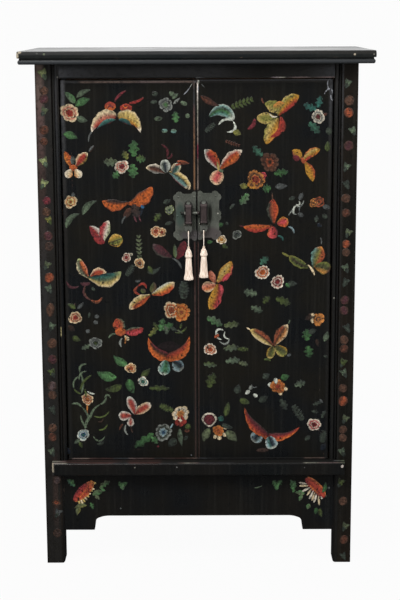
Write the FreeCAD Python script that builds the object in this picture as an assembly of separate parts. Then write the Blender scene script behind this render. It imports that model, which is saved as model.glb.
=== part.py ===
import FreeCAD, Part
import math
import os

# A two-door lacquered clothes cabinet of northern Chinese form. Four posts run from the
# top board to the floor and are its legs. Rails, panels and shelves are joined between
# them, and the doors turn on wooden pivots that are part of their hinge stiles.
# Frame: X to the right, Y to the back, Z up; the origin is on the floor under the centre.
# All lengths are in millimetres.

os.makedirs("parts", exist_ok=True)
V = FreeCAD.Vector

# ---- Whole cabinet ---------------------------------------------------------------------
total_height = 1680.0
top_width = 1106.0
top_depth = 590.0
top_thickness = 40.0
side_overhang = 48.75          # from the outer face of a post to the top board's edge
front_overhang = 50.0          # the same at the front and at the back
cut_over = 1.0                 # how far a cutter runs past the face that it opens

# ---- Posts -----------------------------------------------------------------------------
post_width = 60.0
post_depth = 56.0
post_rounding = 3.0
foot_rounding = 10.0
quirk_fillet = 5.0             # flat strip between the bead and the quirk
quirk_width = 4.5              # the groove that sets the bead off from the painted face
quirk_depth = 7.0
post_tenon = 26.0              # square tenon on the head of each post
post_tenon_length = 20.0

# ---- Top board -------------------------------------------------------------------------
top_member_width = 105.0
lip_height = 21.0              # upper lip of the edge, slightly convex
lip_corner = 3.0               # rounding of the lip's upper arris
lip_belly = 0.8                # how far the lip swells
bead_height = 14.0             # half-round at the foot of the edge
bead_set_in = 2.5              # the bead's crest lies behind the lip's
edge_sink = 6.5                # how far the edge pinches in between lip and bead
top_panel_thickness = 20.0
top_tongue = 8.0               # thickness of the panel's tongue
top_tongue_reach = 9.0
top_groove_spare = 1.0
top_batten_width = 36.0
top_batten_depth = 16.0
top_batten_place = 190.0       # from the middle of the board, each way

# ---- Rails -----------------------------------------------------------------------------
upper_rail_height = 45.0
upper_rail_setback = 5.0       # behind the front faces of the posts
upper_rail_depth = 50.0
lower_rail_top = 354.5         # height of its ledge above the floor
lower_rail_height = 41.5
lower_rail_depth = 55.0        # behind the front faces of the posts
ledge_reach = 33.0             # how far the lower rail stands out in front of the posts
ledge_lap = 34.0               # how far it laps over each post's face
ledge_rounding = 4.0
frame_rail_thickness = 30.0    # side and back rails
frame_rail_setback = 4.0
tenon_length = 22.0
tenon_cheek = 8.0              # shoulder above and below each tenon
tenon_thickness = 14.0

# ---- Beaded jamb strips ----------------------------------------------------------------
bead_width = 14.0
bead_setback = 2.0             # the bead's crest lies behind the post face
jamb_depth = 30.0

# ---- Panels, floor and shelves ---------------------------------------------------------
panel_thickness = 12.0
panel_housing = 8.0            # how far a panel's edge enters its groove
side_panel_setback = 10.0
back_panel_setback = 8.0
back_board_count = 5
bottom_board_thickness = 18.0
shelf_thickness = 18.0
shelf_heights = (770.0, 1180.0)
bearer_height = 30.0
bearer_thickness = 20.0
board_play = 1.0               # room for the boards to move with the weather
door_stop_drop = 17.0
door_stop_depth = 13.0

# ---- Aprons ----------------------------------------------------------------------------
apron_thickness = 20.0
apron_setback = 4.0
apron_arch_height = 163.0      # height of the flat of the arch above the floor
bracket_foot_height = 114.0
bracket_length = 100.0         # from the leg to the bracket's inner end
bracket_lean = 4.0             # how much further in its end stands at the top
bracket_corner = 3.0
spandrel_run = 46.0            # from the bracket's end to where the flat starts
spandrel_rise = 18.5           # quarter ellipse between the end and the flat
side_bracket_length = 62.0

# ---- Doors -----------------------------------------------------------------------------
door_thickness = 24.0
door_setback = 12.0            # door faces behind the post faces
door_member_width = 32.0
door_panel_thickness = 12.0
door_tongue = 6.0
door_tongue_reach = 8.0
door_groove_spare = 0.5
door_side_gap = 2.85           # between a door and its jamb strip
door_swing_play = 0.5          # what is left of it as the door's front corner passes
door_meeting_gap = 1.5
door_foot_gap = 2.0
door_head_gap = 5.0
door_back_gap = 0.5            # between a closed door and what it shuts against
door_batten_width = 40.0
door_batten_places = (0.2, 0.5, 0.8)
pivot_radius = 7.0
pivot_length = 12.0
pivot_play = 0.08              # running fit in its socket
pivot_end_play = 0.5

# ---- Door metalwork --------------------------------------------------------------------
plate_heights = {"left": 1161.0, "right": 1163.4}   # the middle of each half
plate_half_width = 76.5
plate_half_height = 78.5
plate_edge_sink = 7.0          # how far the edges lie inside the lobes
plate_lobe = 16.5              # half the length of a mid-side lobe
plate_corner = 31.0            # how far a corner's pair of lobes runs along each edge
plate_thickness = 1.6
plate_meeting_gap = 0.8        # from the door's edge to the plate's edge
nail_head_radius = 2.8
nail_head_height = 1.5
nail_shank_radius = 0.9
nail_play = 0.2
nail_inset = 17.0              # corner nails, in from the plate's greatest outline
plate_lobe_crest = 0.45        # share of a lobe's run at which its arc touches the outline
plate_corner_crest = 0.62
hood_width = 24.5
hood_depth = 20.4              # out from the face plate
hood_drop = 22.5               # its lower lip below the middle of the half plate
hood_height = 71.5
hood_wall = 2.5
hood_lip = 2.0
hood_shoulder = 18.0           # height of the curved part of the hood's top
hood_brow = 0.68               # share of depth and shoulder that its curve passes through
hood_offsets = {"left": 28.0, "right": 20.5}   # from the gap between the doors
lock_pin_radius = 4.5
lock_pin_play = 0.08
keeper_play = 0.3
lock_pin_rise = 9.0            # its axis above the middle of the right-hand half plate
lock_pin_out = 10.4            # axis of the lock pin, out from the face plate
lock_pin_head_radius = 6.4
lock_pin_head_length = 4.0
lock_pin_head_edge = 1.0       # straight part of the head's rim
lock_pin_throw = 9.0           # how far it slides from rest into the other keeper
lock_pin_tip = 0.5             # how far its tip stands past the middle at rest
keeper_boss_wall = 1.6

# ---- Pulls and tassels -----------------------------------------------------------------
pull_pin_radius = 1.6
pull_pin_play = 0.08
pull_pin_seat_play = 0.05
pull_pin_out = 12.4            # axis of the pull's pin, out from the face plate
pull_pin_drop = 2.8            # axis below the hood's lower lip
pull_pin_head_radius = 2.6
pull_pin_head_length = 1.6
pull_pin_head_play = 0.3
ear_radius = 3.2
knuckle_radius = 3.2
knuckle_width = 8.0
pull_thickness = 2.2
pull_width = 24.5
pull_corner = 2.5
pull_neck = 3.9                # from the pin's axis to the top of the blade
pull_shoulder = 12.0           # length of the blade's full-width part
pull_tip_width = 13.0
pull_cheek = 0.8               # half way down, the blade's width over its full width
pull_rim = 2.6                 # height of the strip of metal under the cord's hole
pull_rim_drop = 25.6           # from the pin's axis down to the middle of that strip
pull_hole_radius = 4.0
cord_diameter = 3.0
cord_loop_reach = 4.0          # from the middle of the rim to the cord's centre line
cord_foot_spread = 2.5         # the same at the tassel's head
cord_sink = 2.0                # how far the cord's ends go into the head
tassel_drop = 45.0             # from the middle of the pull's rim to the tassel's head
tassel_heads = {"left": 36.0, "right": 33.0}
tassel_skirts = {"left": 71.0, "right": 69.0}
tassel_top_radius = 4.6
tassel_head_radius = 11.5
tassel_waist_radius = 9.0
tassel_hem_radius = 15.2
tassel_crease = 0.16           # share of the skirt below its tied crease
tassel_flatness = 0.82         # depth over width of its section

# ---- Planes and heights worked out from the sizes above --------------------------------
body_width = top_width - 2 * side_overhang       # across the outer faces of the posts
body_depth = top_depth - 2 * front_overhang      # from the front posts' faces to the back ones'
body_top = total_height - top_thickness
post_out = body_width / 2
post_in = post_out - post_width
front = -body_depth / 2
back = body_depth / 2
post_back = front + post_depth                   # inner face of the front posts
jamb_in = post_in - bead_width
jamb_front = front + bead_setback
jamb_back = jamb_front + jamb_depth
upper_rail_bottom = body_top - upper_rail_height
lower_rail_bottom = lower_rail_top - lower_rail_height
door_front = front + door_setback
door_back = door_front + door_thickness
door_out = jamb_in - door_side_gap
door_in = door_meeting_gap / 2
door_bottom = lower_rail_top + door_foot_gap
door_top = upper_rail_bottom - door_head_gap
door_width = door_out - door_in
door_height = door_top - door_bottom
pivot_x = door_out - door_thickness / 2
pivot_y = (door_front + door_back) / 2
stop_face = door_back + door_back_gap
side_panel_out = post_out - side_panel_setback
side_panel_in = side_panel_out - panel_thickness
back_panel_back = back - back_panel_setback
back_panel_front = back_panel_back - panel_thickness
plate_face = door_front - plate_thickness
hood_front = plate_face - hood_depth
lock_pin_y = plate_face - lock_pin_out
lock_pin_height = plate_heights["right"] + lock_pin_rise
pull_pin_y = plate_face - pull_pin_out
hood_bottoms = {side: middle - hood_drop for side, middle in plate_heights.items()}
pull_pin_heights = {side: foot - pull_pin_drop for side, foot in hood_bottoms.items()}
rim_heights = {side: axis - pull_rim_drop for side, axis in pull_pin_heights.items()}
tassel_tops = {side: rim - tassel_drop for side, rim in rim_heights.items()}


def box(x_range, y_range, z_range):
    """A block between three pairs of coordinates, given in either order."""
    low = V(min(x_range), min(y_range), min(z_range))
    high = V(max(x_range), max(y_range), max(z_range))
    return Part.makeBox(high.x - low.x, high.y - low.y, high.z - low.z, low)


def outline(plane, start, *steps):
    """A closed face in a principal plane. A step is a point to draw a line to, or a pair:
    a point that an arc passes through and the point where it ends."""
    lift = {"xy": lambda p: V(p[0], p[1], 0), "xz": lambda p: V(p[0], 0, p[1]),
            "yz": lambda p: V(0, p[0], p[1])}[plane]
    edges = []
    here = start
    for step in steps + (start,):
        curved = isinstance(step[0], tuple)
        end = step[1] if curved else step
        if curved:
            edges.append(Part.Arc(lift(here), lift(step[0]), lift(end)).toShape())
        elif end != here:
            edges.append(Part.LineSegment(lift(here), lift(end)).toShape())
        here = end
    return Part.Face(Part.Wire(edges))


def mirrored(shape, side):
    """Pieces are drawn for the right-hand side; the left one is its mirror image."""
    return shape.mirror(V(0, 0, 0), V(1, 0, 0)) if side == "left" else shape


def hood_middle(side):
    """Where the middle of a hood, its pull and its tassel lies across the doors."""
    return hood_offsets[side] if side == "right" else -hood_offsets[side]


def rod(radius, start, direction, length):
    """A plain cylinder from start along direction."""
    return Part.makeCylinder(radius, length, V(*start), V(*direction))


def turned(section, axis):
    """A whole turn of a section about an axis through the origin, facing outwards."""
    solid = section.revolve(V(0, 0, 0), V(*axis), 360)
    if solid.Volume < 0:
        solid = section.revolve(V(0, 0, 0), -V(*axis), 360)
    return solid


def cap_middle(radius, height):
    """Half way along the arc of a round cap of that radius and height: how far it is from
    the axis, and how high above the cap's rim."""
    ball = (radius ** 2 + height ** 2) / (2 * height)
    half_turn = math.asin(radius / ball) / 2
    return (ball * math.sin(half_turn), ball * math.cos(half_turn) - (ball - height))


def corner_arc(centre, radius, x_sign, y_sign):
    """The point half way along a quarter circle, seen from its centre."""
    reach = radius * 0.5 ** 0.5
    return (centre[0] + x_sign * reach, centre[1] + y_sign * reach)


def rounded_plan(x_range, y_range, radius):
    """A rectangle in plan with its four corners rounded."""
    x0, x1 = min(x_range), max(x_range)
    y0, y1 = min(y_range), max(y_range)
    r = radius
    return outline(
        "xy", (x0 + r, y0),
        (x1 - r, y0), (corner_arc((x1 - r, y0 + r), r, 1, -1), (x1, y0 + r)),
        (x1, y1 - r), (corner_arc((x1 - r, y1 - r), r, 1, 1), (x1 - r, y1)),
        (x0 + r, y1), (corner_arc((x0 + r, y1 - r), r, -1, 1), (x0, y1 - r)),
        (x0, y0 + r), (corner_arc((x0 + r, y0 + r), r, -1, -1), (x0 + r, y0)))


# ---- Mitred frames: the top board and both doors are made this way ---------------------
def mitred_frame(across, along, member_width, section):
    """Four members round a rectangle centred on the origin in plan. section is a face in
    the YZ plane whose Y is the distance in from the outer edge and Z the thickness."""
    members = {}
    spans = (("front", across, along, 0), ("right", along, across, 90),
             ("back", across, along, 180), ("left", along, across, 270))
    for name, length, other, turn in spans:
        stick = section.extrude(V(length, 0, 0))
        stick.translate(V(-length / 2, 0, 0))
        low = section.BoundBox.ZMin
        cut = outline("xy", (-length / 2, 0), (length / 2, 0),
                      (length / 2 - member_width, member_width),
                      (-length / 2 + member_width, member_width))
        cut.translate(V(0, 0, low))
        stick = stick.common(cut.extrude(V(0, 0, section.BoundBox.ZLength)))
        stick.translate(V(0, -other / 2, 0))
        stick.rotate(V(0, 0, 0), V(0, 0, 1), turn)
        members[name] = stick
    return members


def top_section():
    """The moulded edge: a slightly convex lip, a sunk quirk and a half-round bead, with
    the panel's groove on the inner side."""
    sink = edge_sink
    high = top_thickness
    lip_foot = high - lip_height
    lip_start = high - lip_corner
    groove_low = high - top_panel_thickness
    groove_high = groove_low + top_tongue
    groove_in = top_member_width - top_tongue_reach - top_groove_spare
    return outline(
        "yz", (sink, 0),
        (top_member_width, 0), (top_member_width, groove_low), (groove_in, groove_low),
        (groove_in, groove_high), (top_member_width, groove_high), (top_member_width, high),
        (lip_corner + lip_belly, high),
        (corner_arc((lip_corner + lip_belly, lip_start), lip_corner, -1, 1),
         (lip_belly, lip_start)),
        ((0, (lip_start + lip_foot) / 2), (lip_belly, lip_foot)), (sink, lip_foot),
        (sink, bead_height), ((bead_set_in, bead_height / 2), (sink, 0)))


def make_top():
    members = mitred_frame(top_width, top_depth, top_member_width, top_section())
    pieces = {}
    for name, member in members.items():
        member.translate(V(0, 0, body_top))
        pieces["top_frame_" + name] = member
    half_x = top_width / 2 - top_member_width
    half_y = top_depth / 2 - top_member_width
    panel_bottom = total_height - top_panel_thickness
    panel = box((-half_x, half_x), (-half_y, half_y), (panel_bottom, total_height))
    reach = top_tongue_reach
    tongue = box((-half_x - reach, half_x + reach), (-half_y - reach, half_y + reach),
                 (panel_bottom, panel_bottom + top_tongue))
    pieces["top_panel"] = panel.fuse(tongue).removeSplitter()
    battens = []
    for place in (-top_batten_place, top_batten_place):
        half = top_batten_width / 2
        battens.append(box((place - half, place + half), (-half_y, half_y),
                           (panel_bottom - top_batten_depth, panel_bottom)))
    pieces["top_battens"] = Part.makeCompound(battens)
    return pieces


# ---- Posts -----------------------------------------------------------------------------
def make_post(is_front):
    """One right-hand post. The foot's inner corner is rounded off, and a front post has
    the quirk near its inner edge, from the lower rail up."""
    y_range = (front, post_back) if is_front else (-post_back, back)
    shaft = rounded_plan((post_in, post_out), y_range, post_rounding).extrude(V(0, 0, body_top))
    r = foot_rounding
    side = outline("xz", (post_out, 0), (post_out, body_top), (post_in, body_top),
                   (post_in, r), (corner_arc((post_in + r, r), r, -1, -1), (post_in + r, 0)))
    side.translate(V(0, y_range[0], 0))
    shaft = shaft.common(side.extrude(V(0, post_depth, 0)))
    if is_front:
        quirk_start = post_in + quirk_fillet
        shaft = shaft.cut(box((quirk_start, quirk_start + quirk_width),
                              (front, front + quirk_depth), (lower_rail_top, body_top)))
    middle = (sum(y_range) / 2, (post_in + post_out) / 2)
    half = post_tenon / 2
    tenon = box((middle[1] - half, middle[1] + half), (middle[0] - half, middle[0] + half),
                (body_top, body_top + post_tenon_length))
    return shaft.fuse(tenon)


# ---- Rails -----------------------------------------------------------------------------
def with_tenons(rail, axis, half_length, tenon):
    """Adds the same stub tenon to both ends of a rail. tenon gives its section's two
    ranges, first across the rail and then in height."""
    for sign in (-1, 1):
        span = (sign * half_length, sign * (half_length + tenon_length))
        ranges = (span, tenon[0], tenon[1]) if axis == "x" else (tenon[0], span, tenon[1])
        rail = rail.fuse(box(*ranges))
    return rail.removeSplitter()


def tenon_heights(bottom, top):
    return (bottom + tenon_cheek, top - tenon_cheek)


def make_front_upper_rail():
    """Shouldered against the jamb strips in front and against the posts behind them."""
    rail_front = front + upper_rail_setback
    rail_back = rail_front + upper_rail_depth
    heights = (upper_rail_bottom, body_top)
    rail = box((-jamb_in, jamb_in), (rail_front, rail_back), heights)
    rail = rail.fuse(box((-post_in, post_in), (jamb_back, rail_back), heights))
    middle = (jamb_back + min(rail_back, post_back)) / 2
    across = (middle - tenon_thickness / 2, middle + tenon_thickness / 2)
    rail = with_tenons(rail, "x", post_in, (across, tenon_heights(*heights)))
    for sign in (-1, 1):
        rail = rail.cut(pivot_socket(sign, upper_rail_bottom, 1))
    return rail


def make_front_lower_rail():
    """The rail that the doors stand on. Its ledge laps over the faces of the posts and is
    rounded along its front edges and at its ends."""
    rail_back = front + lower_rail_depth
    heights = (lower_rail_bottom, lower_rail_top)
    body = box((-post_in, post_in), (front, rail_back), heights)
    ledge_end = post_in + ledge_lap
    ledge_front = front - ledge_reach
    r = ledge_rounding
    low, high = heights
    section = outline(
        "yz", (front, low), (ledge_front + r, low),
        (corner_arc((ledge_front + r, low + r), r, -1, -1), (ledge_front, low + r)),
        (ledge_front, high - r),
        (corner_arc((ledge_front + r, high - r), r, -1, 1), (ledge_front + r, high)),
        (front, high))
    section.translate(V(-ledge_end, 0, 0))
    ledge = section.extrude(V(2 * ledge_end, 0, 0))
    corner = 3 * r
    plan = outline(
        "xy", (-ledge_end, front), (-ledge_end, ledge_front + corner),
        (corner_arc((corner - ledge_end, ledge_front + corner), corner, -1, -1),
         (corner - ledge_end, ledge_front)),
        (ledge_end - corner, ledge_front),
        (corner_arc((ledge_end - corner, ledge_front + corner), corner, 1, -1),
         (ledge_end, ledge_front + corner)),
        (ledge_end, front))
    plan.translate(V(0, 0, low))
    ledge = ledge.common(plan.extrude(V(0, 0, lower_rail_height)))
    middle = (front + rail_back) / 2
    across = (middle - tenon_thickness / 2, middle + tenon_thickness / 2)
    rail = with_tenons(body.fuse(ledge), "x", post_in, (across, tenon_heights(*heights)))
    for sign in (-1, 1):
        rail = rail.cut(pivot_socket(sign, lower_rail_top, -1))
    return rail


def pivot_socket(sign, mouth, way):
    """The blind hole that a door's pivot turns in, open at the height of its mouth."""
    gap = door_head_gap if way > 0 else door_foot_gap
    depth = pivot_length - gap + pivot_end_play
    return rod(pivot_radius + pivot_play, (sign * pivot_x, pivot_y, mouth), (0, 0, way), depth)


def make_back_rail(heights):
    rail_back = back - frame_rail_setback
    rail_front = rail_back - frame_rail_thickness
    rail = box((-post_in, post_in), (rail_front, rail_back), heights)
    middle = (rail_back + rail_front) / 2
    across = (middle - tenon_thickness / 2, middle + tenon_thickness / 2)
    return with_tenons(rail, "x", post_in, (across, tenon_heights(*heights)))


def make_side_rail(heights):
    """A right-hand side rail, between the front and back posts."""
    rail_out = post_out - frame_rail_setback
    rail_in = rail_out - frame_rail_thickness
    half_length = -post_back
    rail = box((rail_in, rail_out), (-half_length, half_length), heights)
    across = (rail_out - tenon_thickness, rail_out - tenon_thickness / 4)
    return with_tenons(rail, "y", half_length, (across, tenon_heights(*heights)))


def make_jamb_strip():
    """A right-hand strip with a half-round bead along its front edge."""
    r = bead_width / 2
    plan = outline("xy", (jamb_in, jamb_back), (jamb_in, jamb_front + r),
                   ((jamb_in + r, jamb_front), (post_in, jamb_front + r)),
                   (post_in, jamb_back))
    plan.translate(V(0, 0, lower_rail_top))
    return plan.extrude(V(0, 0, body_top - lower_rail_top))


# ---- Panels, floor and shelves ---------------------------------------------------------
def make_side_panel():
    half = -post_back + panel_housing
    return box((side_panel_in, side_panel_out), (-half, half),
               (lower_rail_top - panel_housing, upper_rail_bottom + panel_housing))


def make_back_panel():
    """Upright boards, edge to edge, housed in the back posts and rails."""
    half = post_in + panel_housing
    width = 2 * half / back_board_count
    boards = []
    for index in range(back_board_count):
        left = -half + index * width
        boards.append(box((left, left + width), (back_panel_front, back_panel_back),
                          (lower_rail_top - panel_housing, upper_rail_bottom + panel_housing)))
    return Part.makeCompound(boards)


def make_floor_board(bottom, thickness, front_edge):
    """A board that fills the case between the side panels and is notched round the
    posts."""
    wide = side_panel_in - board_play
    narrow = post_in - board_play
    deep = back_panel_front - board_play
    between_posts = -post_back - board_play
    heights = (bottom, bottom + thickness)
    board = box((-narrow, narrow), (front_edge, deep), heights)
    return board.fuse(box((-wide, wide), (-between_posts, between_posts), heights)).removeSplitter()


def make_shelf_bearers():
    bearers = []
    for height in shelf_heights:
        bearer = box((side_panel_in - bearer_thickness, side_panel_in), (post_back, -post_back),
                     (height - shelf_thickness - bearer_height, height - shelf_thickness))
        bearers += [mirrored(bearer, side) for side in ("left", "right")]
    return Part.makeCompound(bearers)


def make_door_stop():
    return box((-jamb_in, jamb_in), (stop_face, stop_face + door_stop_depth),
               (upper_rail_bottom - door_stop_drop, upper_rail_bottom))


# ---- Aprons ----------------------------------------------------------------------------
def spandrel(spring, sign, rising):
    """Two arcs along a quarter ellipse between a bracket's end and the flat of the arch.
    spring is where it springs from, and sign the way towards the bracket."""
    centre = spring - sign * spandrel_run
    low = apron_arch_height - spandrel_rise
    at = [(centre + sign * spandrel_run * math.cos(math.radians(turn)),
           low + spandrel_rise * math.sin(math.radians(turn))) for turn in (0, 20, 40, 65, 90)]
    if not rising:
        at.reverse()
    return [(at[1], at[2]), (at[3], at[4])]


def apron_outline(half_length, foot_length):
    """A board whose lower edge is an arch between two brackets: each bracket has a
    square foot and a leaning end, and a quarter ellipse leads from it to the flat."""
    top = lower_rail_bottom
    foot = bracket_foot_height
    end = half_length - foot_length
    spring = (end - bracket_lean, apron_arch_height - spandrel_rise)
    flat = (spring[0] - spandrel_run, apron_arch_height)
    corner = bracket_corner
    return [(half_length, top), (half_length, foot), (end + corner, foot),
            (corner_arc((end + corner, foot + corner), corner, -1, -1), (end, foot + corner)),
            spring, *spandrel(spring[0], 1, True),
            (-flat[0], flat[1]), *spandrel(-spring[0], -1, False), (-end, foot + corner),
            (corner_arc((-end - corner, foot + corner), corner, 1, -1), (-end - corner, foot)),
            (-half_length, foot), (-half_length, top)]


def make_front_apron():
    points = apron_outline(post_in, bracket_length)
    board = outline("xz", points[0], *points[1:])
    board.translate(V(0, front + apron_setback, 0))
    return board.extrude(V(0, apron_thickness, 0))


def make_side_apron():
    points = apron_outline(-post_back, side_bracket_length)
    board = outline("yz", points[0], *points[1:])
    board.translate(V(post_out - apron_setback - apron_thickness, 0, 0))
    return board.extrude(V(apron_thickness, 0, 0))


def make_case():
    pieces = make_top()
    upper = (upper_rail_bottom, body_top)
    lower = (lower_rail_bottom, lower_rail_top)
    pieces["upper_rail_front"] = make_front_upper_rail()
    pieces["lower_rail_front"] = make_front_lower_rail()
    pieces["upper_rail_back"] = make_back_rail(upper)
    pieces["lower_rail_back"] = make_back_rail(lower)
    pieces["back_panel"] = make_back_panel()
    pieces["bottom_board"] = make_floor_board(lower_rail_top, bottom_board_thickness, stop_face)
    for name, height in zip(("lower", "upper"), shelf_heights):
        pieces["shelf_" + name] = make_floor_board(height - shelf_thickness, shelf_thickness,
                                                   stop_face + board_play)
    pieces["shelf_bearers"] = make_shelf_bearers()
    pieces["door_stop"] = make_door_stop()
    pieces["apron_front"] = make_front_apron()
    for side in ("left", "right"):
        pieces["upper_rail_" + side] = mirrored(make_side_rail(upper), side)
        pieces["lower_rail_" + side] = mirrored(make_side_rail(lower), side)
        pieces["jamb_strip_" + side] = mirrored(make_jamb_strip(), side)
        pieces["side_panel_" + side] = mirrored(make_side_panel(), side)
        pieces["apron_" + side] = mirrored(make_side_apron(), side)
        pieces["post_front_" + side] = mirrored(make_post(True), side)
        pieces["post_back_" + side] = mirrored(make_post(False), side)
    house(pieces)
    return pieces


def house(pieces):
    """Cuts the mortises and grooves: what enters a piece takes its own shape out of it."""
    guests = {"post_front": ("upper_rail_front", "lower_rail_front", "upper_rail_SIDE",
                             "lower_rail_SIDE", "side_panel_SIDE"),
              "post_back": ("upper_rail_back", "lower_rail_back", "upper_rail_SIDE",
                            "lower_rail_SIDE", "side_panel_SIDE", "back_panel")}
    for side in ("left", "right"):
        for host, names in guests.items():
            for name in names:
                guest = pieces[name.replace("SIDE", side)]
                pieces[host + "_" + side] = pieces[host + "_" + side].cut(guest)
        for rail in ("upper_rail_", "lower_rail_"):
            pieces[rail + side] = pieces[rail + side].cut(pieces["side_panel_" + side])
    for rail in ("upper_rail_back", "lower_rail_back"):
        pieces[rail] = pieces[rail].cut(pieces["back_panel"])
    for member in ("front", "back", "left", "right"):
        name = "top_frame_" + member
        for post in ("front_left", "front_right", "back_left", "back_right"):
            pieces[name] = pieces[name].cut(pieces["post_" + post])


# ---- Doors -----------------------------------------------------------------------------
def stand_up(shape):
    """Turns a frame drawn in plan into the plane of the right-hand door, its upper face
    to the front."""
    shape.rotate(V(0, 0, 0), V(1, 0, 0), 90)
    shape.translate(V((door_in + door_out) / 2, door_back, (door_bottom + door_top) / 2))
    return shape


def door_section():
    groove_low = door_thickness - door_panel_thickness
    groove_in = door_member_width - door_tongue_reach - door_groove_spare
    return outline(
        "yz", (0, 0), (door_member_width, 0), (door_member_width, groove_low),
        (groove_in, groove_low), (groove_in, groove_low + door_tongue),
        (door_member_width, groove_low + door_tongue), (door_member_width, door_thickness),
        (0, door_thickness))


def make_door_wood(name):
    """The right-hand door's joinery. Its hinge edge is a quarter round about the pivots
    at the back, and in front it is rounded just enough to turn clear of the jamb."""
    members = mitred_frame(door_width, door_height, door_member_width, door_section())
    half = door_thickness / 2
    r = half - (door_side_gap - door_swing_play) / (2 ** 0.5 - 1)
    blank = outline("xy", (door_in, door_front), (door_out - r, door_front),
                    (corner_arc((door_out - r, door_front + r), r, 1, -1),
                     (door_out, door_front + r)),
                    (door_out, pivot_y),
                    (corner_arc((pivot_x, pivot_y), half, 1, 1), (pivot_x, door_back)),
                    (door_in, door_back))
    blank.translate(V(0, 0, door_bottom))
    blank = blank.extrude(V(0, 0, door_height))
    top_rail = stand_up(members["back"]).common(blank)
    bottom_rail = stand_up(members["front"]).common(blank)
    hinge_stile = stand_up(members["right"]).common(blank)
    lock_stile = stand_up(members["left"])
    root = door_member_width
    upper = rod(pivot_radius, (pivot_x, pivot_y, door_top - root), (0, 0, 1), root + pivot_length)
    lower = rod(pivot_radius, (pivot_x, pivot_y, door_bottom + root), (0, 0, -1), root + pivot_length)
    top_rail = top_rail.cut(upper)
    bottom_rail = bottom_rail.cut(lower)
    hinge_stile = hinge_stile.fuse([upper, lower]).removeSplitter()

    in_x = (door_in + door_member_width, door_out - door_member_width)
    in_z = (door_bottom + door_member_width, door_top - door_member_width)
    reach = door_tongue_reach
    panel_back = door_front + door_panel_thickness
    panel = box(in_x, (door_front, panel_back), in_z)
    panel = panel.fuse(box((in_x[0] - reach, in_x[1] + reach), (panel_back - door_tongue, panel_back),
                           (in_z[0] - reach, in_z[1] + reach))).removeSplitter()
    battens = []
    for share in door_batten_places:
        middle = in_z[0] + share * (in_z[1] - in_z[0])
        battens.append(box(in_x, (panel_back, door_back),
                           (middle - door_batten_width / 2, middle + door_batten_width / 2)))
    return {name + "_hinge_stile": hinge_stile, name + "_lock_stile": lock_stile,
            name + "_top_rail": top_rail, name + "_bottom_rail": bottom_rail,
            name + "_panel": panel, name + "_battens": Part.makeCompound(battens)}


# ---- Face plate ------------------------------------------------------------------------
def plate_outline():
    """The right-hand half of the face plate, about its own centre: pairs of small lobes
    at the corners and at the middle of each side, with sunk straight edges between."""
    a, b, s = plate_half_width, plate_half_height, plate_edge_sink
    lobe, corner = plate_lobe, plate_corner
    edge = door_in + plate_meeting_gap
    notch = 0.4 * s
    cusp = 1.2 * s
    crest = plate_lobe_crest * lobe
    corner_crest = plate_corner_crest * corner
    start = (edge, -b + notch)
    lower = [((edge + crest, -b), (edge + lobe, -b + s)), (a - corner, -b + s),
             ((a - corner_crest, -b), (a - cusp, -b + cusp)),
             ((a, -b + corner_crest), (a - s, -b + corner)), (a - s, -lobe),
             ((a - notch / 4, -lobe + crest), (a - notch, 0))]
    upper = [((a - notch / 4, lobe - crest), (a - s, lobe)), (a - s, b - corner),
             ((a, b - corner_crest), (a - cusp, b - cusp)),
             ((a - corner_crest, b), (a - corner, b - s)), (edge + lobe, b - s),
             ((edge + crest, b), (edge, b - notch))]
    return outline("xz", start, *lower, *upper)


def nail_places():
    x = plate_half_width - nail_inset
    z = plate_half_height - nail_inset
    return ((x, z), (x, -z), (plate_half_width - 2 * nail_head_radius - plate_edge_sink, 0),
            (door_in + 3 * nail_head_radius, z), (door_in + 3 * nail_head_radius, -z))


def make_face_plate(height):
    plate = plate_outline().extrude(V(0, plate_thickness, 0))
    plate.translate(V(0, plate_face, height))
    for x, z in nail_places():
        plate = plate.cut(rod(nail_shank_radius + nail_play, (x, plate_face, height + z),
                              (0, 1, 0), plate_thickness))
    return plate


def make_plate_nails(height):
    """Domed nails that hold the plate: each is a revolved head on a short shank."""
    nails = []
    out, high = cap_middle(nail_head_radius, nail_head_height)
    for x, z in nail_places():
        section = outline("xy", (0, plate_thickness), (nail_shank_radius, plate_thickness),
                          (nail_shank_radius, 0), (nail_head_radius, 0),
                          ((out, -high), (0, -nail_head_height)))
        nail = turned(section, (0, 1, 0))
        nail.translate(V(x, plate_face, height + z))
        nails.append(nail)
    return Part.makeCompound(nails)


# ---- Lock hoods ------------------------------------------------------------------------
def hood_shell(half_width, depth, top, bottom):
    """A solid with an arched head, seen from the front, whose top curves back to the
    plate, seen from the side."""
    r = half_width
    arch = outline("xz", (-r, bottom), (r, bottom), (r, top - r), ((0, top), (-r, top - r)))
    arch.translate(V(0, plate_face, 0))
    arch = arch.extrude(V(0, -depth, 0))
    out = plate_face - depth
    shoulder = top - hood_shoulder
    brow = (plate_face - hood_brow * depth, shoulder + hood_brow * hood_shoulder)
    side = outline("yz", (plate_face, bottom), (out, bottom), (out, shoulder),
                   (brow, (plate_face, top)))
    side.translate(V(-half_width, 0, 0))
    return arch.common(side.extrude(V(2 * half_width, 0, 0)))


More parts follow.
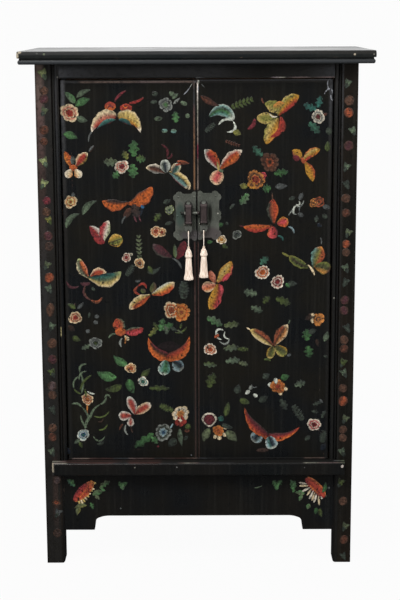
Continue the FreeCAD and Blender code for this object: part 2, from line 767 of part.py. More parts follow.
def make_lock_hood(side):
    """The hood stands on the face plate, hollow and open below. Its cheeks are bored for
    the lock pin and end in ears that carry the pull's pin. The right-hand one has a bored
    boss that reaches to the meeting edge and receives the lock pin."""
    half = hood_width / 2
    hood_bottom = hood_bottoms[side]
    pull_pin_z = pull_pin_heights[side]
    top = hood_bottom + hood_height
    ears_foot = pull_pin_z - ear_radius
    below = ears_foot - cut_over
    outer = hood_shell(half, hood_depth, top, ears_foot)
    ear_back = pull_pin_y + ear_radius
    ear_front = pull_pin_y - ear_radius
    cheek_foot = hood_bottom + 2 * hood_wall
    trim = outline(
        "yz", (plate_face + cut_over, below), (plate_face + cut_over, cheek_foot),
        (plate_face, cheek_foot), (ear_back, hood_bottom + hood_wall),
        (ear_back, pull_pin_z), ((pull_pin_y, ears_foot), (ear_front, pull_pin_z)),
        (ear_front, hood_bottom), (hood_front - cut_over, hood_bottom),
        (hood_front - cut_over, below))
    trim.translate(V(-half, 0, 0))
    hood = outer.cut(trim.extrude(V(2 * half, 0, 0)))
    lip_height = 3 * hood_lip
    lip = outline("yz", (hood_front + hood_wall, hood_bottom), (hood_front, hood_bottom),
                  ((hood_front - hood_lip, hood_bottom + lip_height / 2),
                   (hood_front, hood_bottom + lip_height)),
                  (hood_front + hood_wall, hood_bottom + lip_height))
    lip.translate(V(-half, 0, 0))
    hood = hood.fuse(lip.extrude(V(2 * half, 0, 0))).removeSplitter()
    hollow = hood_shell(half - hood_wall, hood_depth - hood_wall, top - hood_wall, below)
    hood = hood.cut(hollow)
    centre = hood_offsets[side]
    bore = lock_pin_radius + (lock_pin_play if side == "left" else keeper_play)
    reach = 0
    if side == "right":
        reach = centre - half - door_in - plate_meeting_gap / 2
        hood = hood.fuse(rod(bore + keeper_boss_wall, (-half, lock_pin_y, lock_pin_height),
                             (-1, 0, 0), reach))
    through = hood_width + 2 * cut_over
    hood = hood.cut(rod(bore, (-half - reach - cut_over, lock_pin_y, lock_pin_height),
                        (1, 0, 0), through + reach))
    hood = hood.cut(rod(pull_pin_radius + pull_pin_seat_play,
                        (-half - cut_over, pull_pin_y, pull_pin_z), (1, 0, 0), through))
    hood.translate(V(centre, 0, 0))
    return hood


def make_pull_pin(side):
    """A plain pin with a flat head on the left, seated in the hood's two ears."""
    head_face = hood_middle(side) - hood_width / 2 - pull_pin_head_play
    start = (head_face, pull_pin_y, pull_pin_heights[side])
    shank = rod(pull_pin_radius, start, (1, 0, 0),
                hood_width + 2 * pull_pin_head_play + pull_pin_head_length)
    head = rod(pull_pin_head_radius, start, (-1, 0, 0), pull_pin_head_length)
    return shank.fuse(head)


def make_lock_pin():
    """The lock pin rests drawn back in the left-hand hood, its tip short of the other
    door, and slides right into the keeper's boss."""
    hood_left = -hood_offsets["left"] - hood_width / 2
    head_face = hood_left - lock_pin_throw - 2 * lock_pin_play
    shank = rod(lock_pin_radius, (head_face, lock_pin_y, lock_pin_height), (1, 0, 0),
                lock_pin_tip - head_face)
    r = lock_pin_head_radius
    edge = lock_pin_head_edge
    out, high = cap_middle(r, lock_pin_head_length - edge)
    section = outline("xy", (0, 0), (0, r), (-edge, r),
                      ((-edge - high, out), (-lock_pin_head_length, 0)))
    head = turned(section, (1, 0, 0))
    head.translate(V(head_face, lock_pin_y, lock_pin_height))
    return shank.fuse(head)


# ---- Pulls and tassels -----------------------------------------------------------------
def make_pull(side):
    """A knuckle on the pull's pin, with a shield-shaped blade below. The cord's hole
    leaves a narrow rim at the blade's tip."""
    half = pull_width / 2
    tip = pull_tip_width / 2
    pull_pin_z = pull_pin_heights[side]
    blade_top = pull_pin_z - pull_neck
    shoulder = blade_top - pull_shoulder
    foot = rim_heights[side] - pull_rim / 2
    corner = pull_corner
    cheek = (pull_cheek * half, (shoulder + foot) / 2)
    tip_corner = (tip - 0.7 * corner, foot + 0.3 * corner)
    tip_flat = tip - 1.6 * corner
    blade = outline(
        "xz", (-half + corner, blade_top), (half - corner, blade_top),
        (corner_arc((half - corner, blade_top - corner), corner, 1, 1), (half, blade_top - corner)),
        (half, shoulder),
        (cheek, (tip, foot + corner)), (tip_corner, (tip_flat, foot)), (-tip_flat, foot),
        ((-tip_corner[0], tip_corner[1]), (-tip, foot + corner)),
        ((-cheek[0], cheek[1]), (-half, shoulder)),
        (-half, blade_top - corner),
        (corner_arc((-half + corner, blade_top - corner), corner, -1, 1), (-half + corner, blade_top)))
    blade.translate(V(0, pull_pin_y - pull_thickness / 2, 0))
    blade = blade.extrude(V(0, pull_thickness, 0))
    knuckle_half = knuckle_width / 2
    neck = box((-knuckle_half, knuckle_half),
               (pull_pin_y - pull_thickness / 2, pull_pin_y + pull_thickness / 2),
               (blade_top, pull_pin_z))
    knuckle = rod(knuckle_radius, (-knuckle_half, pull_pin_y, pull_pin_z), (1, 0, 0), 2 * knuckle_half)
    pull = blade.fuse([neck, knuckle]).removeSplitter()
    pull = pull.cut(rod(pull_pin_radius + pull_pin_play, (-half, pull_pin_y, pull_pin_z), (1, 0, 0),
                        2 * half))
    hole_z = rim_heights[side] + pull_rim / 2 + pull_hole_radius
    pull = pull.cut(rod(pull_hole_radius, (0, pull_pin_y - pull_thickness, hole_z), (0, 1, 0),
                        2 * pull_thickness))
    pull.translate(V(hood_middle(side), 0, 0))
    return pull


def cord_route(side):
    """The loop's corners: up in front of the pull's rim, over it and down behind."""
    x = hood_middle(side)
    foot = tassel_tops[side] - cord_sink
    top = rim_heights[side] + cord_loop_reach
    return [V(x, pull_pin_y - cord_foot_spread, foot), V(x, pull_pin_y - cord_loop_reach, top),
            V(x, pull_pin_y + cord_loop_reach, top), V(x, pull_pin_y + cord_foot_spread, foot)]


def make_tassel_cord(side):
    """The loop's tube: straight runs joined by tangent arcs, as large as the short run
    over the rim allows."""
    points = cord_route(side)
    edges = []
    here = points[0]
    for before, corner, after in zip(points, points[1:], points[2:]):
        into = (corner - before).normalize()
        onward = (after - corner).normalize()
        turn = into.getAngle(onward)
        cut_back = 0.45 * min((corner - before).Length, (after - corner).Length)
        radius = cut_back / math.tan(turn / 2)
        print(side, "tassel cord arc radius %.2f mm" % radius)
        arc_start = corner - into * cut_back
        arc_end = corner + onward * cut_back
        bisector = (onward - into).normalize()
        centre = corner + bisector * (radius ** 2 + cut_back ** 2) ** 0.5
        middle = centre - bisector * radius
        edges.append(Part.LineSegment(here, arc_start).toShape())
        edges.append(Part.Arc(arc_start, middle, arc_end).toShape())
        here = arc_end
    edges.append(Part.LineSegment(here, points[-1]).toShape())
    path = Part.Wire(edges)
    start_way = (points[1] - points[0]).normalize()
    ring = Part.Wire(Part.makeCircle(cord_diameter / 2, points[0], start_way))
    tube = path.makePipeShell([ring], True, True)
    full = path.Length * math.pi * (cord_diameter / 2) ** 2
    print(side, "tassel cord length %.1f mm, volume over section x length %.4f"
          % (path.Length, tube.Volume / full))
    return tube


def make_tassel(side):
    """The bound head and the hanging skirt of threads, as one plain turned form, a
    little flatter from front to back."""
    top = tassel_tops[side]
    waist = top - tassel_heads[side]
    hem = waist - tassel_skirts[side]
    head_mid = top - 0.66 * tassel_heads[side]
    flare = hem + tassel_crease * tassel_skirts[side]
    section = outline(
        "xz", (0, top), (tassel_top_radius, top),
        ((0.9 * tassel_head_radius, (top + head_mid) / 2), (tassel_head_radius, head_mid)),
        ((0.97 * tassel_head_radius, (head_mid + waist) / 2), (tassel_waist_radius, waist)),
        (0.9 * tassel_hem_radius, flare),
        ((0.99 * tassel_hem_radius, (flare + hem) / 2), (0.86 * tassel_hem_radius, hem)),
        (0, hem))
    flatten = FreeCAD.Matrix()
    flatten.scale(V(1, tassel_flatness, 1))
    tassel = turned(section, (0, 0, 1)).transformGeometry(flatten)
    tassel.translate(V(hood_middle(side), pull_pin_y, 0))
    return tassel


def make_door(side):
    name = side + "_door"
    pieces = {key: mirrored(piece, side) for key, piece in make_door_wood(name).items()}
    height = plate_heights[side]
    pieces[name + "_face_plate"] = mirrored(make_face_plate(height), side)
    pieces[name + "_plate_nails"] = mirrored(make_plate_nails(height), side)
    pieces[name + "_lock_hood"] = mirrored(make_lock_hood(side), side)
    pieces[name + "_pull_pin"] = make_pull_pin(side)
    pieces[side + "_pull"] = make_pull(side)
    pieces[side + "_tassel_cord"] = make_tassel_cord(side)
    pieces[side + "_tassel"] = make_tassel(side)
    return pieces


pieces = make_case()
for door_side in ("left", "right"):
    pieces.update(make_door(door_side))
pieces["lock_pin"] = make_lock_pin()

for node, shape in pieces.items():
    shape.exportStep("parts/" + node + ".step")
print(len(pieces), "nodes written")
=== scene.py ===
"""A two-door clothes cabinet in black lacquer, painted with flowers and butterflies."""

import bpy
import numpy as np
from mathutils import Euler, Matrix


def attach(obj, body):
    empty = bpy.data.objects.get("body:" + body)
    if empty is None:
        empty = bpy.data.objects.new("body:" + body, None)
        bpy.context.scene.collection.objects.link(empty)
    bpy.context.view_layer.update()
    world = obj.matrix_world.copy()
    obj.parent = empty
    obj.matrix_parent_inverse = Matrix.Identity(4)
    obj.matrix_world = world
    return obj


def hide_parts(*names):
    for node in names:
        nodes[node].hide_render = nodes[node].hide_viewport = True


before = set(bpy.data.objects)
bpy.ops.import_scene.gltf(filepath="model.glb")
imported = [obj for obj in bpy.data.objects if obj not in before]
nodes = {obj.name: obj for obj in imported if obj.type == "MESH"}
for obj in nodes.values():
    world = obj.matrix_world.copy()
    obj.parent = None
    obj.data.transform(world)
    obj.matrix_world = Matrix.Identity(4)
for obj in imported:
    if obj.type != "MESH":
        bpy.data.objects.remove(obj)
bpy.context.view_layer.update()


# ---- Case: posts, rails, aprons and top board -------------------------------------------
# Softwood frame joined with mortises and tenons, under many thin coats of black lacquer on
# a clay ground. Use has rubbed the lacquer through to the brown ground along the edges.

def linear(code):
    """The linear colour of an sRGB hex code. A share c above 0.04045 becomes
    ((c + 0.055) / 1.055) to the power 2.4, and a darker one c / 12.92."""
    share = np.array([int(code[i:i + 2], 16) for i in (0, 2, 4)]) / 255
    curved = np.where(share > 0.04045, ((share + 0.055) / 1.055) ** 2.4, share / 12.92)
    return (*curved.tolist(), 1.0)


def add_node(tree, kind, inputs=(), stops=(), **settings):
    """Adds a shader node with its settings. inputs pairs each socket with a value or with
    the output that is linked to it, and stops are a ramp's positions and hex colours."""
    made = tree.nodes.new("ShaderNode" + kind)
    for name, value in settings.items():
        setattr(made, name, value)
    for socket, value in inputs:
        if isinstance(value, bpy.types.NodeSocket):
            tree.links.new(value, made.inputs[socket])
        else:
            made.inputs[socket].default_value = value
    for place, (position, code) in enumerate(stops):
        elements = made.color_ramp.elements
        element = elements[place] if place < 2 else elements.new(position)
        element.position = position
        element.color = linear(code)
    return made


def new_material(name):
    """An empty material of that name, with its node tree and its object coordinates."""
    material = bpy.data.materials.new(name)
    material.use_nodes = True
    tree = material.node_tree
    tree.nodes.clear()
    place = add_node(tree, "TexCoord").outputs["Object"]
    return material, tree, place


def finish_material(material, colour, roughness, relief, *more):
    """Gives the material its surface: colour, roughness, a relief as (height, depth in
    metres, strength), and any further inputs."""
    tree = material.node_tree
    height, depth, strength = relief
    bump = add_node(tree, "Bump", [("Height", height), ("Distance", depth),
                                   ("Strength", strength)])
    surface = add_node(tree, "BsdfPrincipled", [
        ("Base Color", colour), ("Roughness", roughness), ("Normal", bump.outputs[0]), *more])
    add_node(tree, "OutputMaterial", [("Surface", surface.outputs[0])])
    return material


def edges(tree, radius, start):
    """1 on arrises and 0 on flats: how far the normal, rounded over that radius, leaves the
    flat one, from a cosine of start to one of 0.80."""
    rounded = add_node(tree, "Bevel", [("Radius", radius)], samples=6)
    flat = add_node(tree, "NewGeometry")
    facing = add_node(tree, "VectorMath", [(0, rounded.outputs[0]), (1, flat.outputs["Normal"])],
                      operation="DOT_PRODUCT")
    return add_node(tree, "MapRange", [("Value", facing.outputs["Value"]), ("From Min", start),
                                       ("From Max", 0.80)]).outputs[0]


# Tones of lacquer with wear, also used for painted highlights and painted shade: blacks, hazed
# greys, the brown ground, bare wood and a few specks.
WEAR_AND_LIGHT_TONES = {
    "pitch": "060607", "black": "121210", "sound": "181613", "dull": "201f1e",
    "faded": "2a2a2b", "grey": "353639", "hazed": "444446", "ash": "50504e", "dusty": "6a685f",
    "putty": "7e7c70", "bone": "948a78", "pale": "a89e96", "chalk": "e0d6cc", "umber": "2e211c",
    "brown": "3c2723", "russet": "483532", "clay": "54463f", "rose": "5c4e4c", "tan": "6e6058",
    "mauve": "84767a", "ochre": "664830", "wine": "602430", "olive": "545a48",
    "straw": "b8ac7c",
}
# Chips and rubbed spots, in metres: middle, radius and tone.
CHIPS = (
    ((-0.555, -0.297, 1.668), 0.014, "bone"), ((-0.543, -0.296, 1.679), 0.009, "bone"),
    ((-0.490, -0.297, 1.674), 0.006, "ash"), ((-0.468, -0.297, 1.672), 0.006, "olive"),
    ((0.486, -0.297, 1.668), 0.006, "bone"), ((0.545, -0.297, 1.668), 0.005, "dusty"),
    ((-0.433, -0.242, 1.600), 0.004, "dusty"), ((0.470, -0.279, 0.343), 0.008, "pale"),
    ((0.003, -0.235, 1.580), 0.006, "pale"), ((-0.207, -0.279, 0.341), 0.004, "dusty"),
    ((-0.070, -0.279, 0.342), 0.004, "ash"), ((0.346, -0.279, 0.340), 0.003, "ash"),
    ((0.4375, -0.243, 0.896), 0.004, "dusty"),
)

POLISH, CRACK = "34342f", "0a0a0a"      # old polish on the lacquer, and its age cracks


def wear_and_light_line(tree, place, axes, broken, run, point, radius, stops):
    """A line that runs along one axis through point: its mask and its colour. The lacquers
    use it for arrises bared by wear, and for painted highlights and painted shade. The mask
    is 1 on the line and 0 from radius away, broken up by noise, and stops are pairs of a
    place along the axis and the tone there."""
    across = [0.0 if axis == run else 1.0 for axis in "XYZ"]
    held = [value * keep for value, keep in zip(point, across)]
    flat = add_node(tree, "VectorMath", [(0, place), (1, across)], operation="MULTIPLY")
    away = add_node(tree, "VectorMath", [(0, flat.outputs[0]), (1, held)], operation="DISTANCE")
    near = add_node(tree, "MapRange", [("Value", away.outputs["Value"]), ("From Min", radius),
                                       ("From Max", 0.3 * radius)])
    mask = add_node(tree, "Math", [(0, near.outputs[0]), (1, broken)], operation="MULTIPLY")
    low, high = stops[0][0], stops[-1][0]
    share = add_node(tree, "MapRange", [("Value", axes.outputs[run]), ("From Min", low),
                                        ("From Max", high)])
    colour = add_node(tree, "ValToRGB", [("Fac", share.outputs[0])],
                      stops=[((at - low) / (high - low), WEAR_AND_LIGHT_TONES[tone]) for at, tone in stops])
    return mask.outputs[0], colour.outputs[0]


def lacquer(name, cool, warm, edge_share, lines=(), gloss=0.3, sheen=0.25, painted_highlight_stripes=()):
    """Aged black lacquer: satin gloss, clouded by warm and cool blacks, with fine cracks.
    edge_share is how much of each arris wears through to the brown, lines are lines of wear
    and of painted highlight and painted shade as (axis of run, point, radius, stops), and
    the last argument gives stripes in height painted lighter as highlights, as (middle,
    half, colour)."""
    material, tree, place = new_material(name)
    cloud = add_node(tree, "TexNoise", [("Vector", place), ("Scale", 5.0), ("Detail", 5.0)])
    ground = add_node(tree, "ValToRGB", [("Fac", cloud.outputs["Fac"])],
                      stops=((0.38, cool), (0.64, warm)))
    # Upright streaks of old polish, about 8 mm apart.
    stretched = add_node(tree, "Mapping", [("Vector", place), ("Scale", (120, 120, 3))])
    streak = add_node(tree, "TexNoise", [("Vector", stretched.outputs[0]), ("Scale", 1.0),
                                         ("Detail", 3.0)])
    haze = add_node(tree, "MapRange", [("Value", streak.outputs["Fac"]), ("From Min", 0.5),
                                       ("From Max", 0.8), ("To Max", 0.20)])
    hazed = add_node(tree, "Mix", [("Factor", haze.outputs[0]), ("A", ground.outputs[0]),
                                   ("B", linear(POLISH))], data_type="RGBA")
    # Age cracks: cells of about 14 mm, bent by the cloud noise.
    bent = add_node(tree, "Mix", [("Factor", 0.04), ("A", place),
                                  ("B", cloud.outputs["Color"])], data_type="VECTOR")
    cells = add_node(tree, "TexVoronoi", [("Vector", bent.outputs[1]), ("Scale", 70.0)],
                     feature="DISTANCE_TO_EDGE")
    crack = add_node(tree, "MapRange", [("Value", cells.outputs["Distance"]),
                                        ("From Min", 0.0), ("From Max", 0.025),
                                        ("To Min", 1.0), ("To Max", 0.0)])
    chips = add_node(tree, "TexNoise", [("Vector", place), ("Scale", 80.0), ("Detail", 6.0),
                                        ("Roughness", 0.7)])
    patches = add_node(tree, "TexNoise", [("Vector", place), ("Scale", 9.0), ("Detail", 2.0)])
    both = add_node(tree, "Math", [(0, chips.outputs["Fac"]), (1, patches.outputs["Fac"])],
                    operation="ADD")
    # Worn arrises, broken up by 12 mm noise.
    bare = add_node(tree, "MapRange", [("Value", both.outputs[0]),
                                       ("From Min", 1.20 - 0.30 * edge_share),
                                       ("From Max", 1.30 - 0.30 * edge_share)])
    arris = add_node(tree, "Math", [(0, edges(tree, 0.0025, 0.99)), (1, bare.outputs[0])],
                     operation="MULTIPLY")
    wood = add_node(tree, "ValToRGB", [("Fac", chips.outputs["Fac"])],
                    stops=((0.38, "2e1c16"), (0.55, "4c3228"), (0.70, "8c7868")))
    cracked = add_node(tree, "Mix", [("Factor", crack.outputs[0]), ("A", hazed.outputs[2]),
                                     ("B", linear(CRACK))], data_type="RGBA")
    colour = add_node(tree, "Mix", [("Factor", arris.outputs[0]), ("A", cracked.outputs[2]),
                                    ("B", wood.outputs[0])], data_type="RGBA").outputs[2]
    wear_and_light_mask = arris.outputs[0]
    axes = add_node(tree, "SeparateXYZ", [("Vector", place)])
    broken = add_node(tree, "MapRange", [("Value", chips.outputs["Fac"]), ("From Min", 0.36),
                                         ("From Max", 0.52), ("To Min", 0.45)]).outputs[0]
    # Lines of wear, and lines of painted highlight and painted shade.
    wear_and_painted_light = [wear_and_light_line(tree, place, axes, broken, *line) for line in lines]
    # Stripes in height painted lighter as highlights.
    for middle, half, code in painted_highlight_stripes:
        off = add_node(tree, "Math", [(0, axes.outputs["Z"]), (1, middle)],
                       operation="SUBTRACT")
        away = add_node(tree, "Math", [(0, off.outputs[0])], operation="ABSOLUTE")
        stripe = add_node(tree, "MapRange", [("Value", away.outputs[0]), ("From Min", half),
                                             ("From Max", 0.2 * half)])
        wear_and_painted_light.append((stripe.outputs[0], linear(code)))
    for middle, radius, tone in CHIPS:
        away = add_node(tree, "VectorMath", [(0, place), (1, middle)], operation="DISTANCE")
        spot = add_node(tree, "MapRange", [("Value", away.outputs["Value"]),
                                           ("From Min", radius), ("From Max", radius * 0.5)])
        gritty = add_node(tree, "Math", [(0, spot.outputs[0]), (1, chips.outputs["Fac"]),
                                         (2, -0.25)], operation="MULTIPLY_ADD")
        chip = add_node(tree, "Math", [(0, gritty.outputs[0]), (1, 4.0)],
                        operation="MULTIPLY", use_clamp=True)
        wear_and_painted_light.append((chip.outputs[0], linear(WEAR_AND_LIGHT_TONES[tone])))
    for mask, tint in wear_and_painted_light:
        colour = add_node(tree, "Mix", [("Factor", mask), ("A", colour), ("B", tint)],
                          data_type="RGBA").outputs[2]
        wear_and_light_mask = add_node(tree, "Math", [(0, wear_and_light_mask), (1, mask)], operation="MAXIMUM").outputs[0]
    rough = add_node(tree, "MapRange", [("Value", cloud.outputs["Fac"]), ("From Min", 0.3),
                                        ("From Max", 0.7), ("To Min", gloss - 0.06),
                                        ("To Max", gloss + 0.06)])
    matt = add_node(tree, "Mix", [("Factor", wear_and_light_mask), ("A", rough.outputs[0]), ("B", 0.7)],
                    data_type="FLOAT")
    grain = add_node(tree, "TexNoise", [("Vector", place), ("Scale", 260.0), ("Detail", 2.0)])
    relief = add_node(tree, "Math", [(0, crack.outputs[0]), (1, -0.6),
                                     (2, grain.outputs["Fac"])], operation="MULTIPLY_ADD")
    sunk = add_node(tree, "Math", [(0, wear_and_light_mask), (1, -1.5), (2, relief.outputs[0])],
                    operation="MULTIPLY_ADD")
    return finish_material(material, colour, matt.outputs[0], (sunk.outputs[0], 0.0002, 0.5),
                           ("Specular IOR Level", sheen))


def dress(material, *names):
    """Gives each named piece of the frame that material."""
    for name in names:
        for slot in nodes[name].material_slots:
            slot.material = material


case_lacquer = lacquer("black_lacquer_case", "0f1113", "151310", 0.3)
rail_lacquer = lacquer("black_lacquer_rails", "0f1112", "151311", 0.0, lines=(
    ("X", (0, -0.256, 0.3545), 0.0240, (
        (-0.470, "sound"), (-0.425, "brown"), (-0.285, "brown"), (-0.240, "dull"),
        (-0.225, "brown"), (-0.130, "brown"), (-0.115, "sound"), (0.478, "black"))),
    # Painted reflection: the upper rail's face is lighter at the left, darkest right of the
    # middle, and lighter again at the right end.
    ("X", (0, -0.2405, 1.6120), 0.029, (
        (-0.430, "hazed"), (-0.395, "grey"), (-0.30, "faded"), (0.06, "faded"),
        (0.12, "dull"), (0.20, "sound"), (0.34, "dull"), (0.39, "faded"), (0.430, "grey"))),
    ("X", (0, -0.2715, 0.3545), 0.0060, (
        (-0.470, "pale"), (-0.433, "putty"), (-0.425, "faded"), (-0.36, "russet"),
        (-0.285, "russet"), (-0.275, "grey"), (-0.230, "faded"), (-0.222, "russet"),
        (-0.130, "brown"), (-0.120, "faded"), (-0.072, "faded"), (-0.050, "clay"),
        (-0.040, "putty"), (-0.004, "rose"), (0.006, "grey"), (0.110, "faded"),
        (0.125, "dull"), (0.340, "dull"), (0.350, "putty"), (0.384, "dusty"),
        (0.400, "rose"), (0.449, "rose"), (0.478, "olive"))),
    ("X", (0, -0.252, 0.3545), 0.008, (
        (-0.476, "putty"), (-0.440, "rose"), (-0.430, "sound"), (0.440, "black"),
        (0.448, "hazed"), (0.478, "olive"))),
    ("Z", (-0.4760, -0.272, 0), 0.0085, (
        (0.322, "dull"), (0.328, "bone"), (0.3545, "bone"))),
    # The upper rail's lower arris: pitch black along the left half is painted shade over the
    # door-head gap, and the grey, mauve and rose tones to the right are wear.
    ("X", (0, -0.2405, 1.5962), 0.0034, (
        (-0.425, "pitch"), (-0.005, "pitch"), (0.002, "ash"), (0.012, "grey"),
        (0.030, "black"), (0.230, "sound"), (0.245, "mauve"), (0.270, "putty"),
        (0.280, "sound"), (0.300, "rose"), (0.345, "rose"), (0.360, "dull"),
        (0.395, "rose"), (0.425, "rose")))))
jamb_lacquer = lacquer("black_lacquer_jambs", "131415", "181512", 0.1, lines=(
    # This line and the next are painted highlights down the jamb strips' crests, lighter towards
    # the top and most on the left jamb.
    ("Z", (-0.4432, -0.2430, 0), 0.0075, (
        (0.36, "sound"), (1.0, "sound"), (1.12, "dull"), (1.30, "faded"), (1.45, "grey"),
        (1.60, "hazed"))),
    ("Z", (0.4372, -0.2430, 0), 0.0060, (
        (0.36, "black"), (1.42, "black"), (1.58, "dull"))),
    ("Z", (-0.4412, -0.2428, 0), 0.0022, (
        (0.770, "sound"), (0.776, "straw"), (0.800, "straw"), (0.806, "sound")))))
post_lacquer = lacquer("black_lacquer_posts", "13120f", "1b150f", 0.2, lines=(
    ("Z", (-0.4700, -0.2450, 0), 0.0210, (
        (0.02, "sound"), (0.10, "sound"), (0.18, "umber"), (0.33, "umber"), (0.40, "sound"),
        (1.62, "sound"))),
    # Painted reflection: the outer half of the left post's face turns lighter and warmer towards
    # the top.
    ("Z", (-0.4900, -0.2450, 0), 0.0170, (
        (0.05, "sound"), (0.36, "sound"), (0.70, "dull"), (1.00, "dull"), (1.25, "umber"),
        (1.45, "russet"), (1.62, "clay"))),
    # Painted highlight: the inner edge of the left post's painted flat, lighter at the top.
    ("Z", (-0.4590, -0.2450, 0), 0.0060, (
        (0.05, "sound"), (1.40, "sound"), (1.62, "dull"))),
    # Painted highlight: the inner edge of the right post's painted flat, lighter towards the top.
    ("Z", (0.4556, -0.2450, 0), 0.0050, (
        (0.05, "black"), (1.0, "sound"), (1.25, "sound"), (1.38, "dull"), (1.50, "faded"),
        (1.62, "faded"))),
    # Painted shade: a near-black line on the left post's fillet beside the jamb strip, where the
    # quirk's shadow falls.
    ("Z", (-0.4468, -0.2450, 0), 0.0034, (
        (0.05, "pitch"), (1.62, "black"))),
    # Painted shade: a near-black line on the right post's fillet beside the jamb strip, where the
    # quirk's shadow falls.
    ("Z", (0.4456, -0.2450, 0), 0.0060, (
        (0.05, "pitch"), (1.62, "pitch")))))
# The top board: the stripe in height is a painted highlight along the bead, and the two lines are
# painted highlights along the lip's upper part, the lower one lighter on the left half.
board_lacquer = lacquer("black_lacquer_top_board", "131719", "191b1a", 0.15, gloss=0.34,
                        sheen=0.36, painted_highlight_stripes=((1.6462, 0.0090, "25282b"),), lines=(
    ("X", (0, -0.2950, 1.6740), 0.0055, (
        (-0.553, "dull"), (-0.05, "faded"), (0.02, "sound"), (0.553, "sound"))),
    ("X", (0, -0.2930, 1.6802), 0.0040, (
        (-0.553, "dull"), (0.553, "dull")))))
dress(case_lacquer, "upper_rail_back", "upper_rail_left", "upper_rail_right",
      "lower_rail_back", "lower_rail_left", "lower_rail_right", "apron_front", "apron_left",
      "apron_right", "side_panel_left", "side_panel_right")
dress(rail_lacquer, "upper_rail_front", "lower_rail_front")
dress(jamb_lacquer, "jamb_strip_left", "jamb_strip_right")
dress(post_lacquer, "post_front_left", "post_front_right", "post_back_left",
      "post_back_right")
dress(board_lacquer, "top_frame_front", "top_frame_back", "top_frame_left",
      "top_frame_right", "top_panel")


# ---- Inside and back --------------------------------------------------------------------
# Shelves, floor board, bearers and battens are planed softwood left bare and darkened with
# age. The back boards have a thin black stain that lets the grain through.

def softwood(name, early, late, roughness):
    """Straight-grained softwood, planed: growth lines about 6 mm apart that run along X."""
    material, tree, place = new_material(name)
    along = add_node(tree, "Mapping", [("Vector", place), ("Scale", (2.0, 40.0, 40.0))])
    waver = add_node(tree, "TexNoise", [("Vector", along.outputs[0]), ("Scale", 1.0),
                                        ("Detail", 6.0), ("Distortion", 0.6)])
    line = add_node(tree, "TexWave", [("Vector", along.outputs[0]), ("Scale", 0.8),
                                      ("Distortion", 5.0), ("Detail", 3.0)],
                    bands_direction="Z")
    tone = add_node(tree, "Math", [(0, waver.outputs["Fac"]), (1, line.outputs["Fac"])],
                    operation="MULTIPLY")
    colour = add_node(tree, "ValToRGB", [("Fac", tone.outputs[0])],
                      stops=((0.10, late), (0.60, early)))
    return finish_material(material, colour.outputs[0], roughness,
                           (tone.outputs[0], 0.0004, 0.6))


dress(softwood("aged_softwood", "8a6a48", "5c4028", 0.6), "bottom_board", "shelf_lower",
      "shelf_upper", "shelf_bearers", "top_battens", "door_stop", "left_door_battens",
      "right_door_battens")
dress(softwood("stained_back_boards", "2c241f", "171210", 0.55), "back_panel")


# ---- Doors ------------------------------------------------------------------------------
# Each door is a mitred frame with a flush tongued panel, lacquered as one black field. It
# turns on wooden pivots, and its meeting edge is rubbed brown by hands.

door_lacquer = lacquer("black_lacquer_doors", "0f1113", "16140f", 0.0, sheen=0.24, lines=(
    ("Z", (-0.0084, -0.233, 0), 0.0036, (
        (0.357, "umber"), (1.075, "brown"), (1.080, "black"), (1.242, "black"),
        (1.250, "ochre"), (1.400, "ochre"), (1.500, "russet"), (1.520, "faded"),
        (1.560, "faded"), (1.586, "clay"))),
    ("Z", (0.0024, -0.233, 0), 0.0030, (
        (0.357, "umber"), (1.075, "brown"), (1.080, "black"), (1.242, "black"),
        (1.250, "tan"), (1.340, "clay"), (1.350, "wine"), (1.385, "wine"), (1.395, "tan"),
        (1.500, "putty"), (1.542, "pale"), (1.550, "chalk"), (1.586, "chalk"))),
    ("X", (0, -0.233, 1.5845), 0.0052, (
        (-0.427, "faded"), (-0.372, "faded"), (-0.360, "clay"), (-0.20, "clay"),
        (-0.17, "rose"), (-0.02, "clay"), (-0.001, "hazed"), (0.001, "sound"),
        (0.427, "sound"))),
    ("X", (0, -0.233, 1.5895), 0.0036, (
        (-0.427, "sound"), (-0.001, "sound"), (0.001, "hazed"), (0.020, "grey"),
        (0.380, "grey"), (0.400, "hazed"), (0.427, "hazed"))),
    ("X", (0, -0.233, 0.3575), 0.0040, (
        (-0.425, "rose"), (-0.365, "tan"), (-0.355, "russet"), (-0.285, "brown"),
        (-0.276, "grey"), (-0.232, "grey"), (-0.226, "rose"), (-0.150, "russet"),
        (-0.140, "faded"), (-0.052, "brown"), (-0.010, "clay"), (0.006, "grey"),
        (0.034, "faded"), (0.050, "dull"), (0.345, "dull"), (0.352, "clay"),
        (0.400, "clay"), (0.425, "rose"))),
    # This line and the next are painted highlights down the doors' hinge edges, lighter towards
    # the top.
    ("Z", (-0.4220, -0.2330, 0), 0.0120, (
        (0.357, "black"), (1.10, "sound"), (1.28, "dull"), (1.40, "faded"), (1.50, "grey"),
        (1.588, "hazed"))),
    ("Z", (0.4210, -0.2325, 0), 0.0090, (
        (0.357, "black"), (1.25, "sound"), (1.40, "dull"), (1.588, "grey")))))
for side in ("left", "right"):
    dress(door_lacquer, *(side + "_door_" + part for part in (
        "hinge_stile", "lock_stile", "top_rail", "bottom_rail", "panel")))


# ---- Painted flowers and butterflies ----------------------------------------------------
# Thick coloured lacquer laid on the black with a brush, petal by petal. Each mark stands a
# fraction of a millimetre proud, with its rim sunk into the black.

